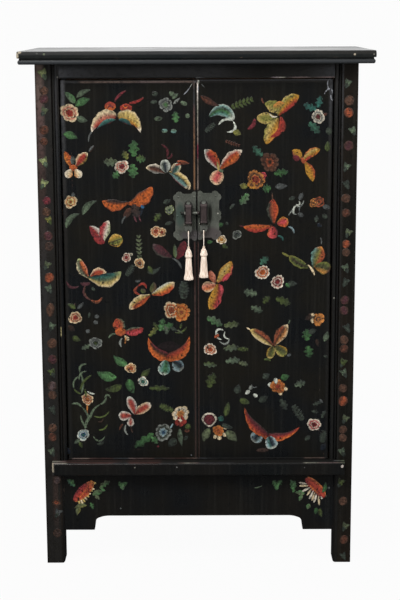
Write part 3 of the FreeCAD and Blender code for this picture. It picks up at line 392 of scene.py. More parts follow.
PAINTS = {
    "ivory": "e6dac4", "white": "c8ccbe", "cream": "dcc69e", "straw": "c8ac62",
    "gold": "b98528", "amber": "c47c38", "orange": "c25e22", "rust": "9e4c2a",
    "scarlet": "a83c26", "red": "922c28", "rose": "c2464c", "pink": "cc8068",
    "wine": "722830", "maroon": "4e1f24", "brown": "5e3626", "umber": "3e2c22",
    "leaf": "4e7c48", "green": "3f6a3a", "jade": "3a6852", "moss": "4e5c2c",
    "olive": "7a7836", "sage": "5c6c54", "dusk": "3c453a", "teal": "306a5e",
    "sea": "6a968e", "blue": "2c5c80", "sky": "88a2a8", "grey": "868a82",
    "ash": "565a58", "night": "1c2430", "mist": "909298", "celadon": "949e68",
    "lichen": "626c4c", "clay": "5e4030", "plum": "542e34", "mauve": "5c4a4a",
    "bark": "40302a", "soot": "241b1c",
}
TINTS = {name: np.array(linear(code)[:3]) for name, code in PAINTS.items()}
# Each kind of mark: where it is widest along its length, how blunt it is from 0, square,
# to 1, pointed, how wide its root stays, the number and depth of its scallops, and its
# grid along and across.
MARKS = {
    "leaf": (0.42, 0.85, 0.0, 0, 0.0, 12, 6), "tooth": (0.50, 0.55, 0.0, 3, 0.55, 30, 8),
    "petal": (0.58, 0.45, 0.3, 0, 0.0, 12, 8), "wing": (0.55, 0.70, 0.35, 4, 0.20, 24, 10),
    "horn": (0.30, 0.85, 0.7, 5, 0.16, 26, 10), "curl": (0.50, 0.45, 0.0, 0, 0.0, 14, 4),
    "stem": (0.40, 0.35, 0.0, 0, 0.0, 10, 4), "blob": (0.50, 0.45, 0.0, 0, 0.0, 8, 6),
}
PAINT_HEIGHT = 0.00016        # how far a mark stands out of the black
PAINT_LAYER = 0.000016        # between one mark and the next laid over it
LAYERS = 20                   # marks laid one over another before the heights start again
PAINT_ROOT = 0.0001           # how far a mark's rim is sunk
RIM_SHADE = 0.35              # how dark a mark's rim is, where the coat thins out
FADE = 0.62                   # how much of a leaf's colour is gone at its tip
FADED_LEAF = np.array(linear("23272a")[:3])      # what a leaf fades to at its tip
TIP_START, TIP_BLEND = 0.80, 0.16      # where the tip's own colour starts, and its blending
ROOT_ROUND = 0.07             # the share of its length in which a root is rounded
WING_RAYS = 7                 # dark rays across a wing
BARE_BLACK = "15120f"         # the black where paint is lost


def spread(colours, share):
    """Colours along a line: the list's entries evenly spaced, blended at each share."""
    table = np.array([TINTS[c] for c in colours])
    place = share * (len(table) - 1)
    return np.stack([np.interp(place, np.arange(len(table)), table[:, k])
                     for k in range(3)], axis=-1)


def brush_mark(kind, x0, z0, x1, z1, width, bow, paint, level, draw):
    """One mark on a grid of u along it and v across it. Its middle line is a parabola from
    (x0, z0) to (x1, z1) that swells to the right of that way by bow times its length. Its
    half width is the sine of pi times u to a power, itself to the power blunt, and at
    least the root's share, cut by scallops on its outer side. The first colour lies along
    its right side, and > names the tip's."""
    widest, blunt, root, lobes, depth, along, across = MARKS[kind]
    sides, _, tip = paint.partition(" > ")
    sides = sides.split()
    u = (1 - np.cos(np.pi * np.linspace(0, 1, along + 1)))[:, None] / 2
    v = np.sin(np.pi / 2 * np.linspace(-1, 1, across + 1))[None, :]
    start, end = np.array([x0, z0], float), np.array([x1, z1], float)
    way = end - start
    right = np.array([way[1], -way[0]])
    middle = start + u * way + 4 * bow * u * (1 - u) * right
    slope = way + 4 * bow * (1 - 2 * u) * right
    slope /= np.linalg.norm(slope, axis=1, keepdims=True)
    left = np.stack([-slope[:, 1], slope[:, 0]], axis=1)
    swell = np.sin(np.pi * u ** (np.log(0.5) / np.log(widest))) ** blunt
    stub = root * (1 - u) * np.sqrt(np.clip(u / ROOT_ROUND, 0, 1))
    half = width / 2 * np.maximum(swell, stub)
    half = half * (1 + 0.06 * np.sin(9 * u + draw.uniform(0, 6)))
    if kind == "tooth":       # pointed lobes, a third of a step apart on the two sides
        step = np.mod(lobes * u + 0.25 + 0.16 * np.sign(v), 1)
        half = half * (1 - depth * np.minimum(1, np.minimum(1 - step, step / 0.75) * -2 + 1.0)
                       .clip(0, 1) * (u > 0.08) * (u < 0.94))
    elif lobes:
        notch = depth * (1 - np.abs(np.sin(np.pi * lobes * (u + 0.04)))) * (u > 0.12)
        outer = v * np.sign(-bow) > 0 if bow else np.ones_like(v)
        half = half * (1 - notch * outer)
    plan = middle[:, None, :] + (half * v)[:, :, None] * left[:, None, :]

    colour = spread(sides if len(sides) > 1 else sides * 2, (v + 1) / 2 + 0 * u)
    if len(sides) == 1:
        vein = np.exp(-(v / 0.16) ** 2) * (u < 0.9)
        colour = colour * (0.80 + 0.30 * vein + 0.30 * np.sin(3.1 * v + draw.uniform(0, 3))
                           * (1 - u))[:, :, None]
    if kind in ("leaf", "tooth"):
        fade = (1 - FADE * u ** 1.4)[:, :, None]
        colour = colour * fade + FADED_LEAF * (1 - fade)
    elif kind not in ("stem", "curl", "blob"):
        colour = colour * (0.55 + 0.45 * np.clip(u / 0.35, 0, 1))[:, :, None]
    if tip:
        near = np.clip((u - TIP_START) / TIP_BLEND, 0, 1)[:, :, None] + 0 * v[:, :, None]
        colour = colour * (1 - near) + TINTS[tip] * near
    if kind in ("wing", "horn"):
        rays = 0.5 + 0.5 * np.sin(2 * np.pi * WING_RAYS * u + 2.5 * np.abs(v))
        colour = colour * (1.08 - 0.45 * rays * (1 - v * v))[:, :, None]
    colour = np.clip(colour * draw.uniform(0.85, 1.1), 0, 1)

    inside = np.minimum(np.minimum(u, 1 - u) * 14, (1 - np.abs(v)) * 5)
    colour = colour * (RIM_SHADE + (1 - RIM_SHADE) * np.clip(inside * 1.6, 0, 1))[:, :, None]
    lift = np.where(inside <= 1e-6, -PAINT_ROOT, PAINT_HEIGHT + PAINT_LAYER * level)
    count = across + 1
    first = (np.arange(along)[:, None] * count + np.arange(across)[None, :]).ravel()
    faces = np.stack([first, first + 1, first + count + 1, first + count], axis=1)
    points = np.concatenate([plan.reshape(-1, 2) / 1000, lift.reshape(-1, 1)], axis=1)
    return points, faces, colour.reshape(-1, 3)


def fern(x0, z0, x1, z1, width, paint):
    """A frond as marks: a stem, and pairs of thin leaflets that lean forward along it."""
    way = np.array([x1 - x0, z1 - z0], float)
    side = np.array([-way[1], way[0]]) / np.hypot(*way)
    rows = [("stem", x0, z0, x1, z1, max(1.6, 0.06 * width), 0.04, paint)]
    for share in np.linspace(0.04, 0.90, 6):
        root = np.array([x0, z0]) + share * way
        reach = width * 0.52 * np.sin(np.pi * (0.22 + 0.62 * share))
        for hand in (-1, 1):
            end = root + hand * reach * side + 0.14 * way
            rows.append(("leaf", *root, *end, (0.34 + 0.06 * hand * share) * width,
                         0.1 * hand, paint))
    return rows


def ring_faces(count, spokes):
    """Quads between each two of that many closed rings of points, as whole arrays."""
    i, j = np.meshgrid(np.arange(count - 1), np.arange(spokes), indexing="ij")
    k = (j + 1) % spokes
    return np.stack([i * spokes + j, (i + 1) * spokes + j, (i + 1) * spokes + k,
                     i * spokes + k], axis=-1).reshape(-1, 4)


def flower(x, z, size, petals, turn, paints, level, draw):
    """A full flower on a grid of rings and spokes. Its edge and that of its inner petals
    are scalloped by the root of the sine of half the petal angle. Each petal pales
    towards its rim, and black shows between petals and beside the inner ones."""
    rim, outer, inner, heart = (TINTS[c] for c in paints.split())
    rings, spokes = 18, 60
    rho = np.linspace(0, 1, rings + 1)[:, None]
    a = np.linspace(0, 2 * np.pi, spokes, endpoint=False)[None, :]
    angle = a - np.radians(turn) + 0.18 * np.sin(2 * a + z)
    lobe = np.sqrt(np.abs(np.sin(petals * angle / 2)))
    between = np.sqrt(np.abs(np.cos(petals * angle / 2 + 0.5)))
    uneven = 1 + 0.07 * np.sin(2 * a + x) + 0.05 * np.sin(3 * a + z)
    reach = size / 2 * uneven * (0.78 + 0.22 * lobe)
    step = 0.34 + 0.24 * between + 0.05 * np.sin(a + x)

    def ramp(low, high, value):
        """0 up to low and 1 from high on, in a straight line between them."""
        return np.clip((value - low) / (high - low), 0, 1)[:, :, None]

    out = (rho - step) / (1 - step)
    petal = outer + (rim - outer) * ramp(0.25, 0.75, out)
    petal = petal * (0.30 + 0.70 * ramp(0.15, 0.55, lobe + 0 * rho))
    petal = petal * (0.30 + 0.70 * ramp(0.0, 0.25, out))
    core = inner + (rim - inner) * ramp(0.72, 0.92, rho / step)
    core = core * (0.45 + 0.55 * ramp(0.15, 0.5, between + 0 * rho))
    core = core * (0.55 + 0.45 * ramp(0.0, 0.12, np.abs(rho / step - 0.5)))
    tint = np.where((out > 0)[:, :, None], petal, core)
    middle = heart * (0.75 + 0.35 * np.sin(5 * a + 20 * rho))[:, :, None]
    tint = tint + (middle - tint) * (1 - ramp(0.16, 0.26, rho + 0 * a))
    lit = 0.84 + 0.20 * np.cos(a - np.radians(turn * 3 - 60)) * rho
    thin = 1 - (1 - RIM_SHADE) * np.clip((rho - 0.93) / 0.07, 0, 1) + 0 * a
    tint = np.clip(tint * (lit * thin)[:, :, None] * draw.uniform(0.9, 1.1), 0, 1)
    dome = PAINT_HEIGHT + PAINT_LAYER * level + 0.0001 * lobe * np.sin(np.pi * rho)
    lift = np.where(rho >= 1, -PAINT_ROOT, dome)
    points = np.stack([(x + reach * rho * np.cos(a)) / 1000,
                       (z + reach * rho * np.sin(a)) / 1000, lift], axis=-1).reshape(-1, 3)
    # The rings of faces, and then a quad on the middle point for every two spokes.
    faces = 1 + ring_faces(rings, spokes)
    two = np.arange(0, spokes, 2)
    fan = np.stack([0 * two, 1 + two, 2 + two, 1 + (two + 2) % spokes], axis=1)
    return (points[spokes - 1:], np.concatenate([faces, fan]),
            tint.reshape(-1, 3)[spokes - 1:])


def painted_lacquer():
    """Coloured lacquer over the black: soft mottling of about 7 mm, small losses where the
    black shows, and brush ridges."""
    material, tree, place = new_material("painted_lacquer")
    paint = add_node(tree, "Attribute", attribute_name="paint")
    mottle = add_node(tree, "TexNoise", [("Vector", place), ("Scale", 150.0), ("Detail", 4.0)])
    tone = add_node(tree, "MapRange", [("Value", mottle.outputs["Fac"]), ("From Min", 0.3),
                                       ("From Max", 0.7), ("To Min", 0.30), ("To Max", 1.0)])
    toned = add_node(tree, "VectorMath", [(0, paint.outputs["Color"]), (3, tone.outputs[0])],
                     operation="SCALE")
    wear = add_node(tree, "TexNoise", [("Vector", place), ("Scale", 110.0), ("Detail", 5.0),
                                       ("Roughness", 0.65)])
    lost = add_node(tree, "MapRange", [("Value", wear.outputs["Fac"]), ("From Min", 0.56),
                                       ("From Max", 0.66)])
    colour = add_node(tree, "Mix", [("Factor", lost.outputs[0]), ("A", toned.outputs[0]),
                                    ("B", linear(BARE_BLACK))], data_type="RGBA")
    return finish_material(material, colour.outputs[2], 0.42,
                           (mottle.outputs["Fac"], 0.0003, 0.4), ("Specular IOR Level", 0.35))


def new_piece(name, points, faces, material, body):
    """A smooth mesh piece from points and faces, finished with that material, on that body."""
    mesh = bpy.data.meshes.new(name)
    mesh.from_pydata(np.asarray(points).tolist(), [], [tuple(f) for f in faces])
    mesh.polygons.foreach_set("use_smooth", [True] * len(mesh.polygons))
    mesh.materials.append(material)
    mesh.update()
    piece = bpy.data.objects.new(name, mesh)
    bpy.context.scene.collection.objects.link(piece)
    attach(piece, body)
    return piece


def paint_field(name, body, front, marks, flowers, seed):
    """All the marks of one painted field as one piece. front is the face's place on Y."""
    draw = np.random.default_rng(seed)
    rows = []
    for row in marks:
        rows += fern(*row[1:6], row[7]) if row[0] == "fern" else [row]
    points, faces, colours, count = [], [], [], 0
    for level, row in enumerate(rows + list(flowers)):
        make = brush_mark if level < len(rows) else flower
        p, f, c = make(*row, level % LAYERS, draw)
        points.append(np.stack([p[:, 0], front - p[:, 2], p[:, 1]], axis=1))
        faces.append(f + count)
        colours.append(c)
        count += len(p)
    piece = new_piece(name, np.concatenate(points), np.concatenate(faces),
                      coloured_lacquer, body)
    layer = piece.data.color_attributes.new("paint", "FLOAT_COLOR", "POINT")
    tint = np.concatenate(colours)
    layer.data.foreach_set("color", np.column_stack([tint, np.ones(len(tint))]).ravel())


coloured_lacquer = painted_lacquer()
# Marks on the left door: kind, root x and z, tip x and z, width (mm), bow, colours.
LEFT_MARKS = (
    ("leaf", -382, 1518, -415, 1553, 22, 0.08, "leaf sage"),
    ("leaf", -376, 1536, -330, 1560, 18, -0.1, "sage"),
    ("leaf", -380, 1510, -332, 1531, 25, -0.08, "leaf"),
    ("leaf", -377, 1477, -342, 1464, 21, 0.08, "sage"),
    ("stem", -257, 1522, -220, 1557, 10, -0.1, "wine"),
    ("stem", -212, 1519, -165, 1537, 10, 0.1, "red"),
    ("blob", -289, 1508, -253, 1509, 31, 0, "orange rust red"),
    ("curl", -280, 1500, -261, 1502, 7, -0.5, "maroon"),
    ("curl", -276, 1515, -259, 1511, 6, 0.3, "wine"),
    ("blob", -241, 1503, -202, 1503, 29, 0, "rust red scarlet"),
    ("curl", -233, 1499, -212, 1501, 7, -0.4, "maroon"),
    ("curl", -232, 1511, -215, 1511, 6, 0.4, "orange"),
    ("horn", -252, 1477, -332, 1426, 46, 0.22, "cream cream pink scarlet wine > ivory"),
    ("leaf", -254, 1467, -314, 1437, 16, 0.12, "sea teal night"),
    ("horn", -249, 1477, -177, 1425, 46, -0.24, "wine gold straw straw cream > ivory"),
    ("leaf", -246, 1467, -205, 1447, 16, -0.12, "night teal"),
    ("stem", -330, 1429, -341, 1397, 7, 0.1, "ash"),
    ("stem", -324, 1385, -340, 1366, 7, 0.1, "ash"),
    ("blob", -141, 1546, -121, 1548, 16, 0, "dusk"),
    ("blob", -86, 1552, -69, 1540, 16, 0, "sage"),
    ("leaf", -77, 1531, -57, 1549, 13, 0, "sage"),
    ("blob", -145, 1520, -124, 1523, 13, 0, "dusk"),
    ("blob", -51, 1521, -30, 1513, 15, 0, "sage"),
    ("leaf", -74, 1515, -52, 1534, 10, 0, "grey"),
    ("leaf", -134, 1470, -106, 1472, 16, 0.05, "sage"),
    ("tooth", -65, 1457, -68, 1492, 29, 0, "leaf"),
    ("blob", -35, 1474, -23, 1482, 16, 0, "sage"),
    ("blob", -111, 1431, -92, 1432, 14, 0, "sage sea"),
    ("blob", -82, 1430, -64, 1431, 14, 0, "sea sage"),
    ("stem", -41, 1544, -20, 1568, 4, 0.04, "mist"),
    ("stem", -21, 1567, -13, 1579, 3, 0, "grey"),
    ("blob", -25, 369, -21, 369, 5, 0, "mist"),
    ("leaf", -420, 1423, -375, 1408, 25, -0.06, "leaf"),
    ("wing", -400, 1318, -418, 1368, 23, 0.06, "rust orange amber"),
    ("wing", -382, 1319, -345, 1364, 33, -0.05, "olive red scarlet cream > cream"),
    ("blob", -392, 1352, -392, 1327, 18, 0, "ash dusk"),
    ("blob", -404, 1316, -378, 1316, 20, 0, "rust orange"),
    ("petal", -396, 1311, -411, 1284, 26, 0.05, "ivory cream amber > ivory"),
    ("petal", -386, 1311, -370, 1284, 26, -0.05, "amber cream ivory > ivory"),
    ("stem", -342, 1364, -324, 1385, 5, 0.1, "umber"),
    ("tooth", -200, 1350, -199, 1403, 39, 0, "leaf green"),
    ("tooth", -192, 1345, -162, 1343, 31, 0, "leaf moss"),
    ("tooth", -203, 1328, -202, 1283, 38, 0, "green leaf"),
    ("tooth", -251, 1333, -295, 1334, 34, 0, "lichen sage"),
    ("tooth", -248, 1304, -265, 1282, 28, 0, "leaf"),
    ("tooth", -220, 1342, -232, 1369, 25, 0, "olive moss"),
    ("wing", -100, 1297, -162, 1315, 31, 0.1, "ivory bark brown grey > cream"),
    ("wing", -90, 1302, -23, 1246, 36, -0.1, "wine sea dusk straw cream > cream"),
    ("petal", -97, 1299, -103, 1341, 34, 0, "white grey night dusk white > white"),
    ("petal", -78, 1297, -57, 1328, 31, 0, "cream teal night cream > ivory"),
    ("curl", -68, 1324, -44, 1338, 10, 0.12, "rust red"),
    ("leaf", -64, 1335, -23, 1328, 14, 0, "brown rust"),
    ("curl", -113, 1389, -96, 1346, 10, -0.25, "maroon"),
    ("curl", -95, 1345, -80, 1362, 8, 0.3, "maroon"),
    ("leaf", -394, 1224, -392, 1239, 13, 0, "ash"),
    ("wing", -218, 1207, -302, 1211, 39, -0.16, "bark bark orange orange rust > orange"),
    ("wing", -221, 1202, -143, 1256, 46, 0.16, "rust orange orange orange bark > orange"),
    ("blob", -178, 1197, -170, 1186, 12, 0, "blue"),
    ("leaf", -174, 1188, -182, 1159, 10, 0, "night"),
    ("tooth", -201, 1200, -190, 1157, 36, 0, "bark"),
    ("leaf", -210, 1188, -235, 1153, 23, 0, "brown umber"),
    ("curl", -199, 1169, -192, 1142, 8, 0.1, "plum"),
    ("curl", -185, 1168, -178, 1143, 7, 0.1, "plum"),
    ("stem", -227, 1162, -240, 1137, 7, 0.1, "ash"),
    ("leaf", -364, 1165, -317, 1211, 21, -0.16, "sage"),
    ("leaf", -417, 1123, -371, 1170, 21, -0.2, "sage"),
    ("leaf", -108, 1203, -83, 1213, 16, 0, "dusk"),
    ("tooth", -136, 1146, -117, 1171, 26, 0, "moss"),
    ("leaf", -103, 1134, -77, 1142, 13, 0, "dusk"),
    ("wing", -305, 1080, -343, 1130, 33, 0.06, "white red wine"),
    ("wing", -300, 1077, -281, 1148, 36, -0.08, "celadon ivory rose red > ivory"),
    ("blob", -330, 1095, -296, 1076, 26, 0, "red wine"),
    ("petal", -284, 1074, -239, 1092, 43, 0, "gold olive moss olive gold straw"),
    ("stem", -279, 1077, -244, 1088, 4, 0, "umber"),
    ("stem", -276, 1072, -250, 1072, 4, 0.2, "umber"),
    ("fern", -185, 1022, -187, 1098, 23, 0, "lichen"),
    ("fern", -229, 968, -206, 1001, 23, 0, "dusk"),
    ("leaf", -162, 981, -118, 998, 16, 0.15, "dusk"),
    ("leaf", -158, 1001, -143, 974, 16, 0, "moss"),
    ("wing", -81, 1029, -142, 1072, 34, -0.08, "maroon plum plum dusk > mauve"),
    ("wing", -67, 1021, -41, 1082, 31, 0.05, "wine maroon"),
    ("leaf", -70, 1026, -73, 1073, 15, 0, "sage moss"),
    ("curl", -82, 1025, -51, 990, 9, -0.15, "ash"),
    ("wing", -349, 963, -379, 1027, 34, -0.1, "pink orange clay sage cream > celadon"),
    ("wing", -352, 967, -244, 983, 47, 0.2, "cream straw lichen teal night > celadon"),
    ("wing", -344, 966, -292, 978, 25, -0.22, "rust scarlet cream > cream"),
    ("curl", -422, 953, -380, 936, 10, 0.3, "plum"),
    ("curl", -376, 946, -345, 947, 15, 0.15, "plum"),
    ("curl", -360, 938, -344, 890, 10, 0.25, "plum clay"),
    ("curl", -344, 890, -307, 899, 11, 0.3, "clay rust"),
    ("blob", -339, 923, -331, 929, 16, 0, "dusk"),
    ("wing", -148, 908, -74, 948, 36, 0.08, "scarlet orange straw white > cream"),
    ("wing", -151, 906, -220, 859, 36, 0.06, "cream straw scarlet orange > cream"),
    ("curl", -185, 907, -190, 935, 10, -0.5, "red rust"),
    ("curl", -190, 935, -164, 927, 10, -0.45, "scarlet red"),
    ("blob", -182, 924, -167, 914, 16, 0, "moss bark"),
    ("leaf", -150, 914, -141, 949, 23, 0.1, "clay moss"),
    ("leaf", -201, 953, -181, 958, 10, 0.2, "ash"),
    ("fern", -45, 892, -43, 945, 36, 0, "dusk"),
    ("leaf", -394, 861, -421, 876, 16, 0.1, "moss"),
    ("leaf", -387, 861, -366, 882, 13, 0, "ash"),
    ("blob", -352, 831, -348, 849, 9, 0, "dusk"),
    ("blob", -333, 834, -318, 837, 13, 0, "ash"),
    ("blob", -337, 818, -322, 814, 13, 0, "ash"),
    ("blob", -362, 785, -348, 789, 15, 0, "ash"),
    ("leaf", -419, 805, -397, 788, 20, 0, "umber"),
    ("leaf", -405, 770, -379, 756, 20, 0.05, "moss"),
    ("tooth", -348, 742, -377, 727, 20, 0, "sage"),
    ("wing", -246, 781, -262, 829, 43, 0.03, "jade rust scarlet rust"),
    ("wing", -242, 785, -174, 796, 31, 0.08, "red rose red jade > red"),
    ("blob", -268, 784, -232, 786, 29, 0, "rust orange"),
    ("curl", -289, 763, -264, 778, 8, -0.2, "sage"),
    ("petal", -237, 773, -223, 757, 13, 0, "cream"),
    ("curl", -244, 764, -247, 734, 9, 0.2, "grey"),
    ("curl", -232, 769, -236, 745, 6, 0, "amber"),
    ("tooth", -159, 771, -132, 806, 21, 0.1, "moss olive"),
    ("tooth", -122, 787, -111, 830, 27, 0, "leaf"),
    ("tooth", -114, 794, -78, 812, 26, 0, "green"),
    ("tooth", -106, 805, -98, 776, 23, 0, "sage"),
    ("tooth", -128, 791, -143, 817, 18, 0, "moss"),
    ("leaf", -90, 800, -66, 787, 13, 0, "dusk"),
    ("curl", -74, 782, -36, 802, 8, 0.2, "moss"),
    ("leaf", -67, 790, -48, 778, 10, 0, "lichen"),
    ("leaf", -57, 795, -51, 813, 9, 0, "moss"),
    ("blob", -132, 733, -56, 733, 43, 0, "soot"),
    ("horn", -89, 699, -160, 766, 39, -0.2, "wine umber orange orange > orange"),
    ("horn", -105, 699, -27, 770, 41, 0.22, "orange orange scarlet bark > orange"),
    ("petal", -104, 691, -114, 640, 41, 0, "white sea jade green jade sea > white"),
    ("petal", -81, 686, -51, 657, 41, 0, "grey sky dusk night night sky > grey"),
    ("leaf", -226, 675, -274, 707, 28, -0.1, "leaf"),
    ("leaf", -264, 634, -329, 653, 34, -0.1, "leaf"),
    ("leaf", -249, 608, -304, 594, 26, -0.12, "moss"),
    ("leaf", -224, 628, -208, 579, 31, 0.08, "green"),
    ("leaf", -186, 638, -156, 663, 21, 0.08, "moss"),
    ("tooth", -160, 597, -92, 596, 23, 0, "moss"),
    ("stem", -380, 578, -385, 655, 9, 0.1, "sage"),
    ("stem", -384, 652, -361, 678, 9, -0.3, "sage"),
    ("stem", -387, 625, -361, 654, 7, -0.25, "sage"),
    ("stem", -404, 598, -387, 637, 7, -0.2, "sage"),
    ("stem", -383, 588, -345, 641, 10, -0.14, "moss"),
    ("stem", -382, 578, -405, 596, 7, -0.1, "moss"),
    ("stem", -364, 568, -369, 595, 7, 0, "moss"),
    ("stem", -357, 486, -381, 534, 8, 0.1, "sage"),
    ("stem", -381, 534, -414, 543, 9, 0.22, "sage"),
    ("stem", -362, 544, -362, 510, 6, 0, "amber"),
    ("stem", -353, 493, -320, 542, 9, -0.14, "sage"),
    ("stem", -320, 542, -299, 569, 9, 0.15, "sage"),
    ("curl", -306, 564, -285, 563, 8, -0.5, "sage"),
    ("stem", -341, 503, -290, 520, 7, 0.22, "moss"),
    ("stem", -364, 464, -384, 507, 8, -0.12, "sage"),
    ("stem", -371, 460, -346, 513, 11, -0.08, "sage"),
    ("stem", -345, 435, -305, 435, 7, 0.42, "sage"),
    ("stem", -327, 456, -297, 475, 7, 0.2, "moss"),
    ("stem", -328, 484, -311, 495, 6, 0.3, "umber"),
    ("leaf", -388, 422, -408, 410, 15, 0, "sage"),
    ("leaf", -390, 415, -381, 394, 13, 0, "moss"),
    ("leaf", -333, 408, -309, 421, 13, 0.2, "dusk"),
    ("petal", -206, 507, -228, 569, 31, 0.03, "white red scarlet white > white"),
    ("petal", -206, 509, -154, 543, 33, -0.03, "cream scarlet red cream > ivory"),
    ("petal", -218, 503, -260, 500, 33, 0.05, "white scarlet red white > white"),
    ("petal", -220, 498, -222, 467, 23, 0, "white scarlet white > white"),
    ("curl", -236, 474, -230, 438, 8, 0.2, "grey"),
    ("stem", -246, 476, -258, 455, 7, 0.1, "brown"),
    ("stem", -220, 472, -214, 445, 6, 0.1, "umber"),
    ("fern", -81, 519, -121, 538, 26, 0, "moss"),
    ("tooth", -146, 443, -210, 396, 34, 0, "green"),
    ("tooth", -155, 435, -132, 409, 26, 0, "leaf"),
    ("leaf", -60, 460, -53, 399, 18, 0.04, "sage"),
    ("stem", -361, 587, -336, 578, 7, 0.1, "white"),
    ("leaf", -70, 421, -96, 397, 29, 0.1, "dusk"),
    ("leaf", -47, 421, -34, 434, 13, 0, "dusk"),
    ("blob", -43, 463, -25, 470, 20, 0, "moss"),
    ("blob", -45, 451, -28, 453, 13, 0, "brown"),
    ("curl", -91, 462, -82, 477, 7, 0, "sky"),
    ("blob", -136, 398, -128, 400, 7, 0, "wine"),
    ("blob", -435, 381, -420, 388, 23, 0, "night"),
)
# Flowers: middle x and z, size across (mm), petals, turn, and rim, outer, inner and heart.
LEFT_FLOWERS = (
    (-399, 1489, 60, 7, 10, "cream pink scarlet red"),
    (-97, 1513, 46, 6, 0, "grey ash sage leaf"),
    (-238, 1319, 46, 5, 20, "ivory pink red wine"),
    (-402, 1208, 43, 5, 0, "cream amber straw rust"),
    (-88, 1181, 31, 5, 30, "celadon grey sage dusk"),
    (-113, 1109, 31, 5, 60, "cream amber rust scarlet"),
    (-132, 1112, 38, 6, 0, "cream orange scarlet rust"),
    (-227, 1028, 31, 5, 10, "ivory scarlet red red"),
    (-212, 1038, 12, 3, 0, "grey cream grey cream"),
    (-185, 1010, 36, 5, 40, "cream amber clay rust"),
    (-84, 856, 56, 6, 20, "cream orange rust rust"),
    (-52, 849, 60, 8, 0, "amber orange amber rust"),
    (-395, 832, 44, 5, 90, "cream rust scarlet red"),
    (-331, 748, 43, 6, 0, "grey ash dusk moss"),
    (-218, 664, 38, 5, 60, "cream amber orange rust"),
    (-179, 619, 35, 4, 30, "ivory sea jade teal"),
    (-361, 560, 41, 6, 0, "cream orange rust amber"),
    (-57, 508, 59, 7, 90, "cream ivory amber amber"),
    (-57, 486, 41, 5, 20, "red scarlet red red"),
    (-114, 447, 59, 8, 0, "grey dusk sky blue"),
    (-377, 439, 42, 5, 90, "white sky blue teal"),
)
